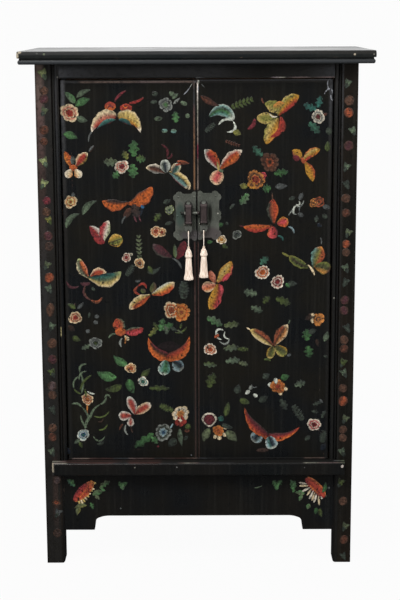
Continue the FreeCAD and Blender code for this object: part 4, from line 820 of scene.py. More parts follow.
RIGHT_MARKS = (
    ("stem", 15, 1577, 26, 1565, 3, 0.04, "ash"),
    ("stem", 6, 1590, 6, 1577, 5, 0, "white"),
    ("stem", 6, 1571, 6, 1553, 4, 0.1, "mist"),
    ("stem", 411, 1587, 412, 1561, 5, 0.1, "mist"),
    ("blob", 408, 1560, 417, 1560, 7, 0, "mist"),
    ("stem", 410, 1558, 399, 1543, 4, 0.1, "mist"),
    ("stem", 421, 1560, 423, 1543, 4, -0.1, "mist"),
    ("stem", 420, 1542, 426, 1522, 5, 0.12, "mist"),
    ("leaf", 12, 1541, 72, 1508, 20, 0.05, "brown"),
    ("fern", 106, 1503, 173, 1528, 29, 0, "moss"),
    ("petal", 38, 1474, 115, 1463, 39, -0.35, "grey sea jade green dusk sea white > white"),
    ("curl", 68, 1448, 114, 1461, 9, -0.25, "white"),
    ("curl", 114, 1461, 94, 1427, 10, -0.45, "white"),
    ("leaf", 114, 1430, 140, 1419, 20, 0, "olive"),
    ("fern", 88, 1399, 133, 1384, 16, 0, "brown"),
    ("fern", 26, 1427, 54, 1452, 20, 0, "dusk"),
    ("curl", 159, 1436, 181, 1469, 15, 0.2, "wine"),
    ("wing", 267, 1481, 212, 1515, 39, 0.12, "olive olive straw > olive"),
    ("wing", 255, 1477, 321, 1540, 43, -0.1, "red scarlet gold olive straw > gold"),
    ("blob", 239, 1503, 276, 1516, 26, 0, "olive amber"),
    ("wing", 256, 1471, 218, 1388, 43, 0.04, "olive straw gold amber > gold"),
    ("petal", 250, 1469, 188, 1470, 36, 0, "straw olive olive straw > straw"),
    ("curl", 263, 1475, 231, 1410, 22, -0.24, "scarlet red"),
    ("curl", 228, 1485, 253, 1476, 7, 0.25, "ivory"),
    ("stem", 204, 1533, 211, 1515, 7, 0.1, "brown"),
    ("leaf", 264, 1470, 258, 1417, 13, -0.25, "scarlet"),
    ("tooth", 375, 1496, 334, 1512, 29, 0, "teal"),
    ("tooth", 379, 1502, 388, 1539, 26, 0, "teal"),
    ("tooth", 352, 1456, 386, 1423, 33, 0, "jade"),
    ("blob", 405, 1427, 425, 1430, 25, 0, "dusk"),
    ("leaf", 396, 1477, 410, 1485, 11, 0, "brown"),
    ("leaf", 411, 1365, 412, 1398, 20, 0, "moss"),
    ("wing", 71, 1308, 24, 1373, 38, 0.05, "orange scarlet red white > white"),
    ("wing", 71, 1308, 143, 1370, 38, -0.05, "rust orange scarlet ivory > ivory"),
    ("petal", 73, 1308, 49, 1265, 46, -0.05, "cream pink rose pink cream > cream"),
    ("leaf", 71, 1301, 63, 1336, 10, 0, "straw"),
    ("blob", 69, 1308, 83, 1302, 13, 0, "sage"),
    ("tooth", 206, 1351, 175, 1382, 29, 0, "jade"),
    ("tooth", 243, 1295, 289, 1302, 29, 0, "green"),
    ("tooth", 234, 1249, 207, 1247, 33, 0, "green"),
    ("leaf", 159, 1253, 134, 1260, 21, 0, "olive"),
    ("tooth", 163, 1232, 137, 1197, 31, 0, "leaf sage"),
    ("leaf", 247, 1253, 287, 1257, 20, 0, "ash"),
    ("leaf", 103, 1183, 120, 1201, 10, 0, "dusk"),
    ("wing", 333, 1341, 300, 1369, 29, 0.05, "gold gold wine"),
    ("blob", 303, 1350, 324, 1339, 20, 0, "wine"),
    ("wing", 334, 1336, 389, 1372, 28, -0.1, "orange gold straw orange > gold"),
    ("wing", 338, 1335, 366, 1270, 29, -0.08, "gold gold scarlet > gold"),
    ("blob", 329, 1346, 340, 1327, 13, 0, "rust"),
    ("leaf", 340, 1336, 363, 1353, 10, 0, "scarlet"),
    ("stem", 303, 1184, 317, 1165, 5, 0.3, "grey"),
    ("curl", 308, 1170, 326, 1197, 7, -0.3, "white"),
    ("stem", 317, 1189, 338, 1210, 6, 0.2, "grey"),
    ("stem", 325, 1173, 336, 1198, 5, -0.2, "ash"),
    ("curl", 314, 1193, 323, 1209, 5, 0.4, "white"),
    ("stem", 290, 1162, 301, 1178, 5, 0, "grey"),
    ("leaf", 324, 1211, 335, 1235, 16, 0, "ash"),
    ("leaf", 291, 1213, 313, 1221, 13, 0, "dusk"),
    ("leaf", 319, 1168, 339, 1159, 16, 0, "ash"),
    ("leaf", 398, 1192, 424, 1184, 16, 0, "ash"),
    ("leaf", 377, 1139, 381, 1163, 15, 0, "dusk"),
    ("blob", 398, 1164, 413, 1153, 16, 0, "dusk"),
    ("leaf", 381, 1134, 397, 1126, 13, 0, "night"),
    ("stem", 239, 1208, 238, 1235, 5, 0, "clay"),
    ("wing", 243, 1135, 240, 1216, 38, -0.03, "orange scarlet rust bark dusk > scarlet"),
    ("stem", 155, 1126, 133, 1129, 6, 0, "maroon"),
    ("wing", 240, 1130, 146, 1126, 28, -0.08, "rust orange scarlet red > orange"),
    ("petal", 254, 1135, 290, 1146, 34, 0, "orange scarlet rose red gold > amber"),
    ("petal", 243, 1127, 238, 1088, 36, 0, "orange rose red plum > rose"),
    ("curl", 289, 1126, 308, 1104, 8, -0.2, "ash sky"),
    ("curl", 256, 1095, 273, 1081, 9, -0.25, "night teal"),
    ("leaf", 65, 1129, 84, 1137, 16, 0, "green"),
    ("leaf", 91, 1142, 98, 1131, 10, 0, "dusk"),
    ("leaf", 31, 1076, 50, 1079, 13, 0, "green"),
    ("leaf", 79, 1068, 98, 1057, 15, 0, "moss"),
    ("wing", 358, 994, 293, 1033, 31, -0.08, "olive moss bark moss olive > olive"),
    ("curl", 294, 1029, 270, 1042, 9, 0, "olive"),
    ("wing", 372, 992, 396, 1063, 46, -0.02, "rust rust olive sage sea > amber"),
    ("petal", 376, 995, 423, 982, 43, -0.1, "olive amber moss bark moss olive > clay"),
    ("curl", 353, 1003, 375, 968, 9, -0.08, "cream"),
    ("stem", 395, 1068, 392, 1091, 5, 0.1, "ash"),
    ("wing", 61, 946, 109, 1016, 39, 0.06, "rose gold straw gold > gold"),
    ("blob", 80, 950, 103, 976, 18, 0, "rose"),
    ("petal", 56, 944, 38, 984, 23, 0, "pink rust"),
    ("petal", 61, 938, 14, 928, 36, 0, "cream pink orange cream > pink"),
    ("wing", 66, 943, 38, 856, 44, -0.08, "gold gold red rose > gold"),
    ("leaf", 71, 940, 75, 902, 16, -0.1, "rose"),
    ("tooth", 201, 1004, 226, 1030, 29, 0, "jade"),
    ("leaf", 289, 942, 320, 941, 20, 0, "dusk"),
    ("leaf", 283, 943, 296, 929, 13, 0, "leaf"),
    ("tooth", 191, 907, 148, 916, 33, 0, "sage"),
    ("tooth", 210, 878, 232, 901, 26, 0, "moss"),
    ("tooth", 252, 895, 299, 874, 33, 0, "moss"),
    ("tooth", 171, 866, 209, 850, 29, 0, "sage"),
    ("leaf", 364, 833, 346, 823, 16, 0, "umber"),
    ("leaf", 359, 843, 367, 825, 13, 0, "umber"),
    ("tooth", 352, 753, 352, 793, 36, 0, "green"),
    ("leaf", 358, 779, 383, 790, 20, 0, "dusk"),
    ("leaf", 408, 751, 419, 785, 20, 0.05, "sage"),
    ("tooth", 357, 737, 362, 697, 36, 0, "green"),
    ("leaf", 384, 759, 390, 732, 13, 0, "umber"),
    ("leaf", 407, 704, 423, 697, 10, 0, "dusk"),
    ("tooth", 30, 833, 80, 805, 33, 0, "leaf sage"),
    ("tooth", 84, 804, 135, 810, 27, 0, "lichen moss"),
    ("curl", 59, 770, 85, 788, 8, -0.45, "white"),
    ("curl", 69, 753, 103, 765, 8, 0.45, "grey"),
    ("curl", 65, 780, 78, 758, 7, 0.3, "white"),
    ("blob", 54, 765, 69, 775, 13, 0, "rust"),
    ("tooth", 83, 727, 133, 734, 29, 0, "sage lichen"),
    ("fern", 127, 728, 161, 725, 18, 0, "moss"),
    ("tooth", 89, 685, 137, 691, 28, 0, "sage"),
    ("tooth", 132, 682, 163, 674, 21, 0, "lichen"),
    ("tooth", 18, 678, 62, 672, 23, 0, "sage moss"),
    ("curl", 88, 785, 103, 760, 6, 0.35, "white"),
    ("wing", 243, 736, 169, 791, 36, 0.04, "clay rust clay straw cream > straw"),
    ("wing", 246, 736, 291, 808, 38, -0.03, "cream amber clay rust clay > cream"),
    ("petal", 243, 736, 231, 695, 29, 0, "gold olive bark moss olive straw > straw"),
    ("petal", 251, 736, 286, 706, 36, 0, "straw olive moss bark moss gold > olive"),
    ("stem", 170, 790, 157, 798, 6, 0, "cream"),
    ("curl", 214, 690, 236, 686, 10, -0.2, "moss"),
    ("leaf", 289, 703, 304, 709, 11, 0, "ash"),
    ("stem", 293, 809, 298, 823, 5, 0, "sage"),
    ("tooth", 34, 597, 52, 648, 38, 0, "moss"),
    ("leaf", 126, 577, 132, 608, 25, 0, "dusk"),
    ("leaf", 269, 628, 298, 637, 23, 0, "green"),
    ("leaf", 210, 630, 234, 642, 23, 0, "dusk"),
    ("tooth", 313, 604, 350, 616, 29, 0, "sage dusk"),
    ("blob", 154, 576, 169, 588, 14, 0, "white"),
    ("blob", 180, 575, 194, 567, 13, 0, "white"),
    ("blob", 166, 591, 177, 603, 13, 0, "grey"),
    ("curl", 174, 610, 193, 601, 5, 0.4, "ash"),
    ("petal", 254, 609, 252, 630, 14, 0, "white"),
    ("petal", 247, 605, 227, 608, 16, 0, "white"),
    ("petal", 274, 594, 292, 592, 13, 0, "cream"),
    ("petal", 266, 589, 270, 571, 13, 0, "cream"),
    ("petal", 37, 464, 36, 514, 50, 0, "ivory"),
    ("petal", 37, 470, 36, 508, 40, 0, "maroon wine maroon"),
    ("petal", 58, 439, 53, 425, 13, 0, "cream"),
    ("petal", 69, 437, 70, 420, 15, 0, "cream"),
    ("petal", 81, 444, 92, 433, 14, 0, "cream"),
    ("petal", 83, 459, 94, 464, 13, 0, "cream"),
    ("petal", 375, 828, 367, 844, 16, 0, "cream"),
    ("leaf", 371, 811, 369, 832, 13, 0, "cream"),
    ("leaf", 135, 558, 169, 544, 23, 0, "moss"),
    ("leaf", 198, 549, 228, 568, 23, 0, "dusk"),
    ("tooth", 269, 559, 289, 522, 29, 0, "dusk"),
    ("leaf", 89, 500, 100, 550, 21, 0, "moss"),
    ("leaf", 70, 485, 80, 503, 21, 0, "teal"),
    ("leaf", 37, 460, 18, 414, 28, 0.05, "lichen"),
    ("leaf", 89, 449, 127, 415, 31, -0.05, "lichen"),
    ("leaf", 77, 474, 114, 461, 18, 0.05, "dusk"),
    ("horn", 231, 433, 151, 532, 34, -0.13, "bark wine scarlet orange > rust"),
    ("horn", 212, 435, 333, 464, 31, 0.15, "orange orange scarlet wine bark > scarlet"),
    ("petal", 210, 449, 178, 415, 43, 0, "grey sky night night dusk sky grey > grey"),
    ("petal", 231, 433, 247, 390, 43, 0, "white sky teal night night sky white > white"),
    ("blob", 190, 384, 232, 386, 16, 0, "bark"),
    ("tooth", 374, 539, 404, 548, 16, 0, "dusk"),
    ("tooth", 370, 518, 393, 513, 14, 0, "dusk"),
    ("leaf", 396, 557, 408, 545, 9, 0, "ash"),
    ("fern", 344, 485, 313, 534, 29, 0, "dusk"),
    ("tooth", 404, 494, 415, 519, 18, 0, "dusk"),
    ("fern", 406, 409, 412, 448, 26, 0, "dusk"),
    ("leaf", 350, 419, 368, 434, 16, 0, "dusk"),
    ("leaf", 402, 385, 419, 407, 20, 0, "night"),
)
RIGHT_FLOWERS = (
    (381, 1474, 44, 6, 20, "ivory grey clay wine"),
    (230, 1332, 62, 8, 0, "clay brown rust umber"),
    (186, 1277, 60, 8, 20, "amber clay red rust"),
    (173, 1261, 29, 5, 0, "gold amber clay rust"),
    (207, 1288, 26, 5, 40, "rose wine rust rust"),
    (385, 1205, 38, 6, 0, "rust clay rust clay"),
    (370, 1202, 29, 5, 40, "amber clay amber clay"),
    (77, 1085, 33, 5, 90, "ivory gold gold amber"),
    (126, 1101, 31, 4, 10, "grey dusk night sage"),
    (208, 978, 49, 10, 0, "ivory orange orange orange"),
    (257, 947, 46, 10, 10, "ivory red wine red"),
    (389, 824, 43, 5, 15, "amber amber clay amber"),
    (40, 726, 43, 8, 0, "ivory orange orange scarlet"),
    (260, 601, 50, 5, 50, "amber orange rust scarlet"),
    (66, 452, 39, 7, 10, "amber orange orange rust"),
    (379, 472, 46, 6, 150, "ivory rose red wine"),
)
DOOR_FRONT = -0.233           # the doors' faces on Y
paint_field("left_door_painting", "left_door", DOOR_FRONT, LEFT_MARKS, LEFT_FLOWERS, 3)
paint_field("right_door_painting", "right_door", DOOR_FRONT, RIGHT_MARKS, RIGHT_FLOWERS, 5)


# ---- Painted posts and apron ------------------------------------------------------------
# The flat strip of each front post carries a trail of small leaves and round flowers, and
# the apron has half a chrysanthemum in each bracket.

POST_FRONT = -0.245
APRON_FRONT = -0.241
WIDER = (1.019, 0.000042)     # a mark's width over its size at the foot, and its loss per mm up
TALLER = (1.078, 0.000086)    # the same for its height
LEAF_SHADES = {"celadon": "sage", "lichen": "dusk", "olive": "moss"}       # else dusk


def trail(kind, x, z, size, lean, paint):
    """A three-lobed leaf, its upper lobe the brightest, or a round or tall flower with its
    heart, as marks in whole millimetres. They grow and spread a little towards the foot."""
    side, turn = 1 if lean > 0 else -1, np.radians(lean)
    if kind == "leaf":
        style = "leaf"
        marks = ((-0.20 * side, -0.5, 0.35 * side, 1.00, 0.46, 0.05 * side, paint),
                 (0.10 * side, -0.1, -0.90 * side, 0.35, 0.36, 0.12 * side, paint),
                 (0, 0, 0.45 * side, -1.0, 0.40, -0.10 * side, LEAF_SHADES.get(paint, "dusk")))
    else:
        style = "blob"
        tall, wide = (1.12, 0.66) if kind == "tall" else (0.98, 0.98)
        rim, heart = ("umber " + paint).split()[-2:]
        p, q = tall * np.sin(turn), tall * np.cos(turn)
        marks = ((-p, -q, p, q, wide, 0, rim + " " + heart + " " + rim),
                 (-0.44, -0.2, 0.5, 0.24, 0.3, 0.2, heart))
    across, up = (size / 2 * (foot - loss * z) for foot, loss in (WIDER, TALLER))
    slant = WIDER[1] * x * up
    return [(style, *(int(np.floor(value + 0.5)) for value in (
        x + across * x0 - slant * z0, z + up * z0, x + across * x1 - slant * z1, z + up * z1,
        width * size)), bow, tints) for x0, z0, x1, z1, width, bow, tints in marks]


# Leaves and flowers as kind, x, z, size (mm), lean (degrees) and paint, and among them one
# leaf as plain marks.
POST_TRAILS = (
    ("leaf", -479.1, 1610, 41.7, 20, "celadon"), ("round", -476, 1558.1, 30.3, 0, "clay"),
    ("round", -476.6, 1532.1, 32.2, 40, "plum"), ("leaf", -476.2, 1494.4, 34.1, -20, "lichen"),
    ("round", -479, 1437, 32.2, 25, "brown"), ("round", -480, 1401, 28.4, -25, "brown"),
    ("leaf", -482.6, 1336.2, 39.9, 10, "celadon"),
    ("leaf", -483.2, 1266.6, 37.9, -15, "celadon"),
    ("round", -476, 1214.2, 28.4, 25, "plum wine"), ("round", -478, 1178, 30.3, -25, "clay"),
    ("leaf", -472, 1150.7, 32.2, 10, "olive"), ("round", -474.7, 1100.7, 32.2, -25, "plum"),
    ("round", -472.9, 1067, 30.3, 30, "bark"),
    ("leaf", -476, 997, -485, 1022, 16, -0.05, "lichen"),
    ("leaf", -481, 1004, -464, 1011, 12, -0.12, "lichen"),
    ("leaf", -480, 1005, -488, 989, 14, 0.1, "dusk"),
    ("round", -473.9, 965.8, 34.1, 25, "rust"), ("leaf", -477.2, 929, 34.1, 10, "sage"),
    ("tall", -473.8, 861, 41.7, 5, "clay"), ("leaf", -469, 805.4, 34.1, -20, "sage"),
    ("round", -470.7, 750.8, 34.1, 25, "clay"), ("round", -470.5, 697, 32.2, -30, "plum"),
    ("leaf", -474.7, 652.9, 34.1, 10, "moss"), ("round", -474, 608, 32.2, 25, "mauve"),
    ("round", -473.5, 578, 30.3, -25, "clay"), ("leaf", -476.2, 527.4, 34.1, 10, "dusk"),
    ("round", -476, 466.2, 30.3, 30, "clay"), ("round", -477, 435.8, 30.3, -30, "brown"),
    ("leaf", -481, 384.6, 34.1, 10, "sage"), ("round", -465.7, 288.6, 26.6, 20, "mauve"),
    ("leaf", -464, 174.2, 34.1, -20, "ash"), ("round", -468.3, 104.6, 30.3, 15, "bark"),
    ("leaf", 471.9, 1577, 34.1, -15, "sage"), ("round", 476.9, 1524.8, 34.1, 25, "clay"),
    ("round", 474.6, 1487, 34.1, -25, "rust"), ("leaf", 487.8, 1430.2, 34.1, 10, "sage"),
    ("round", 476.4, 1384, 34, 20, "plum"), ("leaf", 472, 1316.1, 34.1, -10, "sage"),
    ("leaf", 470.1, 1261.2, 34.1, 15, "dusk"),
    ("round", 470.6, 1217, 33, -25, "clay"), ("round", 471.6, 1170.9, 30.3, 25, "brown"),
    ("leaf", 481, 1106, 34.1, -10, "lichen"),
    ("round", 473.1, 1071.3, 28.4, 25, "rust"), ("round", 473.6, 1044.9, 28.4, -25, "clay"),
    ("leaf", 472.1, 993, 34.1, 10, "sage"), ("leaf", 475, 947.2, 34.1, -20, "dusk"),
    ("round", 472.2, 889.1, 30.3, 25, "plum"), ("round", 470.2, 855.8, 30.3, -25, "plum"),
    ("leaf", 479.7, 797.1, 34, 10, "dusk"), ("round", 472, 759, 30.3, -25, "clay"),
    ("round", 472.1, 729.8, 30.3, 25, "brown"), ("leaf", 471.2, 682.8, 34.1, -10, "moss"),
    ("leaf", 471.8, 648.9, 34.1, 15, "sage"), ("round", 470.9, 597.7, 30.2, -25, "clay"),
    ("round", 471.2, 554.6, 34.1, 20, "rust"), ("leaf", 481, 493.2, 34.1, -10, "lichen"),
    ("round", 473, 457.9, 28.4, 25, "clay"), ("round", 473, 429.9, 28.4, -25, "clay"),
    ("leaf", 470.1, 381.6, 34.1, 10, "sage"), ("leaf", 469.2, 276.3, 34.1, -15, "moss"),
    ("round", 476.9, 213, 30.3, 20, "clay"), ("leaf", 486.2, 124, 34.1, -10, "lichen"),
    ("round", 482.3, 79, 30.3, 20, "brown"), ("leaf", 479.9, 21, 30.3, 10, "dusk"),
)
POST_MARKS = [mark for row in POST_TRAILS
              for mark in (trail(*row) if len(row) == 6 else [row])]
POST_FLOWERS = (
    (-470, 211, 29, 6, 10, "umber clay rust brown"),
)


def half_flower(x, z, step_x, step_z, paint, tips):
    """The petals of half a flower in whole millimetres. Their roots are evenly spaced along
    a line from x, z, and every second one is cream."""
    return [("petal", round(x + i * step_x), round(z + i * step_z), *tip, 8, 0,
             "cream" if i % 2 else paint) for i, tip in enumerate(tips)]


APRON_MARKS = (
    *half_flower(-396.65, 223, 3.845, 5.4, "straw", (
        (-393, 201), (-381, 201), (-375, 210), (-368, 218), (-361, 227), (-355, 238),
        (-348, 249), (-342, 255), (-337, 278))),
    ("blob", -413, 214, -346, 284, 41, 0.02, "amber scarlet scarlet scarlet red red wine > amber"),
    ("leaf", -395, 223, -358, 268, 6, 0, "orange"),
    *half_flower(358, 270.8, 5.4, -5.4, "ivory", (
        (331, 276), (332, 265), (342, 245), (358, 231), (366, 219), (374, 213), (381, 206),
        (399, 197), (409, 219))),
    ("blob", 353, 293, 418, 224, 39, -0.02, "wine red red scarlet scarlet scarlet amber"),
    ("leaf", 364, 269, 401, 231, 8, 0, "orange"),
    ("tooth", -409, 264, -433, 287, 24, 0.1, "leaf jade"),
    ("leaf", -420, 273, -411, 290, 11, 0, "leaf"),
    ("tooth", -325, 256, -291, 282, 23, -0.1, "leaf lichen"),
    ("leaf", -322, 257, -307, 249, 12, 0, "leaf"),
    ("leaf", -350, 234, -312, 247, 20, -0.1, "leaf lichen"),
    ("leaf", -342, 235, -326, 219, 14, 0, "lichen"),
    ("tooth", -357, 209, -348, 186, 16, 0, "leaf"),
    ("leaf", -369, 199, -412, 189, 16, 0.1, "lichen olive"),
    ("leaf", -391, 194, -402, 164, 16, 0.1, "lichen olive"),
    ("leaf", -254, 264, -262, 282, 15, 0, "leaf"),
    ("leaf", -254, 267, -233, 279, 16, 0, "leaf"),
    ("leaf", -253, 269, -248, 252, 15, 0, "leaf sage"),
    ("blob", -260, 188, -255, 188, 6, 0, "ash"),
    ("tooth", 261, 264, 244, 283, 23, 0, "leaf"),
    ("tooth", 260, 266, 274, 285, 20, 0, "leaf"),
    ("leaf", 259, 269, 257, 249, 16, 0, "leaf"),
    ("tooth", 312, 242, 303, 286, 23, 0.1, "leaf"),
    ("tooth", 313, 245, 320, 283, 20, -0.1, "leaf"),
    ("leaf", 350, 236, 317, 241, 18, 0.1, "leaf lichen"),
    ("leaf", 342, 235, 332, 211, 14, 0, "leaf lichen"),
    ("leaf", 367, 202, 359, 183, 16, 0, "leaf lichen"),
    ("leaf", 390, 189, 387, 165, 15, 0, "green"),
    ("leaf", 403, 188, 409, 155, 15, 0.1, "moss"),
    ("leaf", 409, 241, 418, 279, 15, 0.1, "green"),
    ("blob", 426, 257, 434, 257, 9, 0, "ash"),
    ("blob", 418, 229, 424, 229, 7, 0, "dusk"),
    ("stem", 183, 259, 210, 266, 5, 0.1, "sage"),
)
paint_field("posts_painting", "case", POST_FRONT, POST_MARKS, POST_FLOWERS, 7)
paint_field("apron_painting", "case", APRON_FRONT, APRON_MARKS, (), 9)


# ---- Face plates, hoods and pins --------------------------------------------------------
# Cast and filed brass, long unpolished: an olive-grey skin of patina. Wear brightens the
# edges of the plates and pins, the edges of the hoods and pulls are darkened as painted shade,
# and spots of painted shade and painted highlight lie on the plates, hoods and lock pin.

def old_brass(name, dark, light, roughness, wear_and_painted_light, spots=()):
    """Brass under a dull skin of patina, pitted in clouds, with its arrises in another tone:
    brighter where wear bares them on some parts, darker as painted shade on others. spots are
    discolourings, painted shade and painted highlights as (middle, radii along X, Y and Z,
    colour)."""
    material, tree, place = new_material(name)
    cloud = add_node(tree, "TexNoise", [("Vector", place), ("Scale", 24.0), ("Detail", 5.0)])
    speck = add_node(tree, "TexNoise", [("Vector", place), ("Scale", 300.0), ("Detail", 3.0)])
    tone = add_node(tree, "Mix", [("Factor", 0.35), ("A", cloud.outputs["Fac"]),
                                  ("B", speck.outputs["Fac"])], data_type="FLOAT")
    skin = add_node(tree, "ValToRGB", [("Fac", tone.outputs[0])],
                    stops=((0.36, dark), (0.62, light)))
    colour = add_node(tree, "Mix", [("Factor", edges(tree, 0.0012, 0.995)),
                                    ("A", skin.outputs[0]), ("B", linear(wear_and_painted_light))],
                      data_type="RGBA").outputs[2]
    for middle, radii, code in spots:
        centred = add_node(tree, "VectorMath", [(0, place), (1, middle)],
                           operation="SUBTRACT")
        scaled = add_node(tree, "VectorMath", [(0, centred.outputs[0]), (1, radii)],
                          operation="DIVIDE")
        away = add_node(tree, "VectorMath", [(0, scaled.outputs[0])], operation="LENGTH")
        spot = add_node(tree, "MapRange", [("Value", away.outputs["Value"]), ("From Min", 1.0),
                                           ("From Max", 0.6)])
        colour = add_node(tree, "Mix", [("Factor", spot.outputs[0]), ("A", colour),
                                        ("B", linear(code))], data_type="RGBA").outputs[2]
    rough = add_node(tree, "MapRange", [("Value", speck.outputs["Fac"]),
                                        ("To Min", roughness - 0.1), ("To Max", roughness + 0.1)])
    return finish_material(material, colour, rough.outputs[0],
                           (tone.outputs[0], 0.0004, 0.5), ("Metallic", 0.75))


plate_brass = old_brass("patinated_brass_plate", "50534c", "72756c", 0.60, "74756c", (
    # Painted shade: a black strip down the gap between the two plates.
    ((-0.0022, -0.234, 1.16), (0.0022, 0.004, 0.20), "050505"),
    ((-0.020, -0.234, 1.100), (0.040, 0.01, 0.022), "605c5c"),
    ((-0.054, -0.234, 1.165), (0.018, 0.01, 0.045), "56645c"),
    # Painted shadow on the plate beside the right hood.
    ((0.0410, -0.234, 1.170), (0.0075, 0.01, 0.036), "30312c"),
    ((0.045, -0.234, 1.105), (0.040, 0.01, 0.026), "625c5a"),
    ((-0.072, -0.234, 1.165), (0.006, 0.01, 0.030), "3c3f38"),
    # A painted glint on a nail head.
    ((0.0655, -0.235, 1.1700), (0.0022, 0.004, 0.0022), "e0dcd0")))
# The hoods: the dark arrises, the dark caps and the dark sides are painted shade, and the lighter
# spot in each cap and the bright spot at the left hood's left side are painted highlights.
hood_brass = old_brass("patinated_brass_hood", "3e3635", "5a4e4d", 0.60, "201d1c", (
    ((-0.028, -0.246, 1.2060), (0.0300, 0.020, 0.0100), "1c1918"),
    ((-0.028, -0.246, 1.2052), (0.0075, 0.020, 0.0060), "5e615a"),
    ((0.0205, -0.246, 1.2084), (0.0300, 0.020, 0.0100), "1c1918"),
    ((0.0205, -0.246, 1.2076), (0.0085, 0.020, 0.0070), "666962"),
    ((-0.0400, -0.250, 1.17), (0.0056, 0.020, 0.060), "1c1918"),
    ((-0.0160, -0.250, 1.17), (0.0052, 0.020, 0.060), "1c1918"),
    ((0.0085, -0.250, 1.17), (0.0046, 0.020, 0.060), "24201f"),
    ((0.0325, -0.250, 1.17), (0.0046, 0.020, 0.060), "24201f"),
    ((-0.0390, -0.252, 1.174), (0.0022, 0.020, 0.0070), "96948c")))
# The pulls' near-black arrises are painted shade round each blade.
pull_brass = old_brass("patinated_brass_pull", "5e605a", "787a72", 0.55, "131211")
pin_brass = old_brass("rubbed_brass_pins", "5c5c54", "7e7c70", 0.45, "c8c4b4")
# The lock pin is dark, with a painted highlight on its middle between the hoods.
lock_pin_brass = old_brass("patinated_brass_lock_pin", "30322e", "3c3f3a", 0.60, "3c3e39", (
    ((-0.0035, -0.245, 1.1724), (0.0150, 0.020, 0.020), "70726a"),))
for side in ("left", "right"):
    dress(plate_brass, side + "_door_face_plate", side + "_door_plate_nails")
    dress(hood_brass, side + "_door_lock_hood")
    dress(pull_brass, side + "_pull")
    dress(pin_brass, side + "_door_pull_pin")
dress(lock_pin_brass, "lock_pin")


# ---- Tassels on their cords -------------------------------------------------------------
# A loop of plied cotton cord passes through the hole of each pull. Its ends go into a
# tassel of cotton threads: a bound head, a waist tied with thread, and a hanging skirt.

def cotton(name, colour, shade, threads_per_metre):
    """Plied cotton: a soft matt fibre that scatters light, with fine twisted threads."""
    material, tree, place = new_material(name)
    upright = add_node(tree, "Mapping", [("Vector", place),
                                         ("Scale", (threads_per_metre, threads_per_metre, 30))])
    thread = add_node(tree, "TexNoise", [("Vector", upright.outputs[0]), ("Scale", 1.0),
                                         ("Detail", 2.0)])
    tint = add_node(tree, "ValToRGB", [("Fac", thread.outputs["Fac"])],
                    stops=((0.30, shade), (0.62, colour)))
    return finish_material(material, tint.outputs[0], 0.9,
                           (thread.outputs["Fac"], 0.0006, 0.6), ("Sheen Weight", 0.3))


tassel_cotton = cotton("cotton_thread", "f2e4d6", "b89a82", 420)
# The tie thread is a darker beige than the tassel's threads, which paints the shade of the tied
# waist.
tie_cotton = cotton("cotton_tie", "cdb6a0", "a08468", 900)
THREADS = 40                  # bundles of thread that show round a tassel
THREAD_POINTS = 6             # points round each bundle
FLATNESS = 0.82               # a tassel's depth over its width
TASSELS = {                   # side: x, top, hem and rim heights, head height, hem half width
    "left": (-0.028, 1.0651, 0.9581, 1.1101, 0.034, 0.0152),
    "right": (0.0205, 1.0675, 0.9655, 1.1125, 0.032, 0.0144),
}
TASSEL_Y = -0.247


def tassel(side, x, top, hem, head, hem_half):
    """A closed surface on a grid of angle a and height. Its half width follows a profile of
    knot, cone, collar, tied waist and skirt, and each thread is one ridge: half width times
    0.93 + 0.07 |cos(THREADS a / 2)|, with the threads' ends uneven at the hem."""
    draw = np.random.default_rng(len(side))
    rows, turns = 90, THREADS * THREAD_POINTS
    drop = np.linspace(0, 1, rows)[:, None]
    total = top - hem
    at = drop * total
    profile_at = np.array([0, 0.001, 0.004, 0.008, 0.45 * head, 0.72 * head, head - 0.003,
                           head - 0.0005, head + 0.0025, head + 0.006, 0.60 * total,
                           0.80 * total, 0.88 * total, 0.95 * total, total])
    profile = np.array([0.0018, 0.0030, 0.0034, 0.0044, 0.0088, 0.0106, 0.0122, 0.0108,
                        0.0080, 0.0090, 0.0106, 0.0116, 0.88 * hem_half, 1.00 * hem_half,
                        0.93 * hem_half])
    half = np.interp(at, profile_at, profile)
    a = np.linspace(0, 2 * np.pi, turns, endpoint=False)[None, :]
    ridge = 0.07 * np.abs(np.cos(THREADS * a / 2)) * (0.5 + 0.5 * drop)
    sway = 0.0004 * np.sin(5 * a + 4 * drop) * drop + 0.0003 * np.sin(11 * a - 3 * drop) * drop
    r = half * (0.93 + ridge) + sway
    uneven = draw.normal(0, 0.0006, THREADS)
    ends = np.repeat(uneven, THREAD_POINTS)[None, :] * (drop > 0.985)
    z = top - at + ends + 0 * a
    shell = np.stack([x + r * np.cos(a), TASSEL_Y + FLATNESS * r * np.sin(a), z], axis=-1)
    points = np.concatenate([shell.reshape(-1, 3), [[x, TASSEL_Y, top]],
                             [[x, TASSEL_Y, hem + 0.002]]])
    # The two ends are closed by fans of triangles on a middle point.
    j = np.arange(turns)
    k, last = (j + 1) % turns, (rows - 1) * turns
    fans = np.stack([0 * j + rows * turns, j, k, 0 * j + rows * turns + 1, last + k, last + j],
                    axis=1).reshape(-1, 3)
    piece = new_piece(side + "_tassel_threads", points,
                      ring_faces(rows, turns).tolist() + fans.tolist(), tassel_cotton,
                      side + "_tassel")
    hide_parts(side + "_tassel")


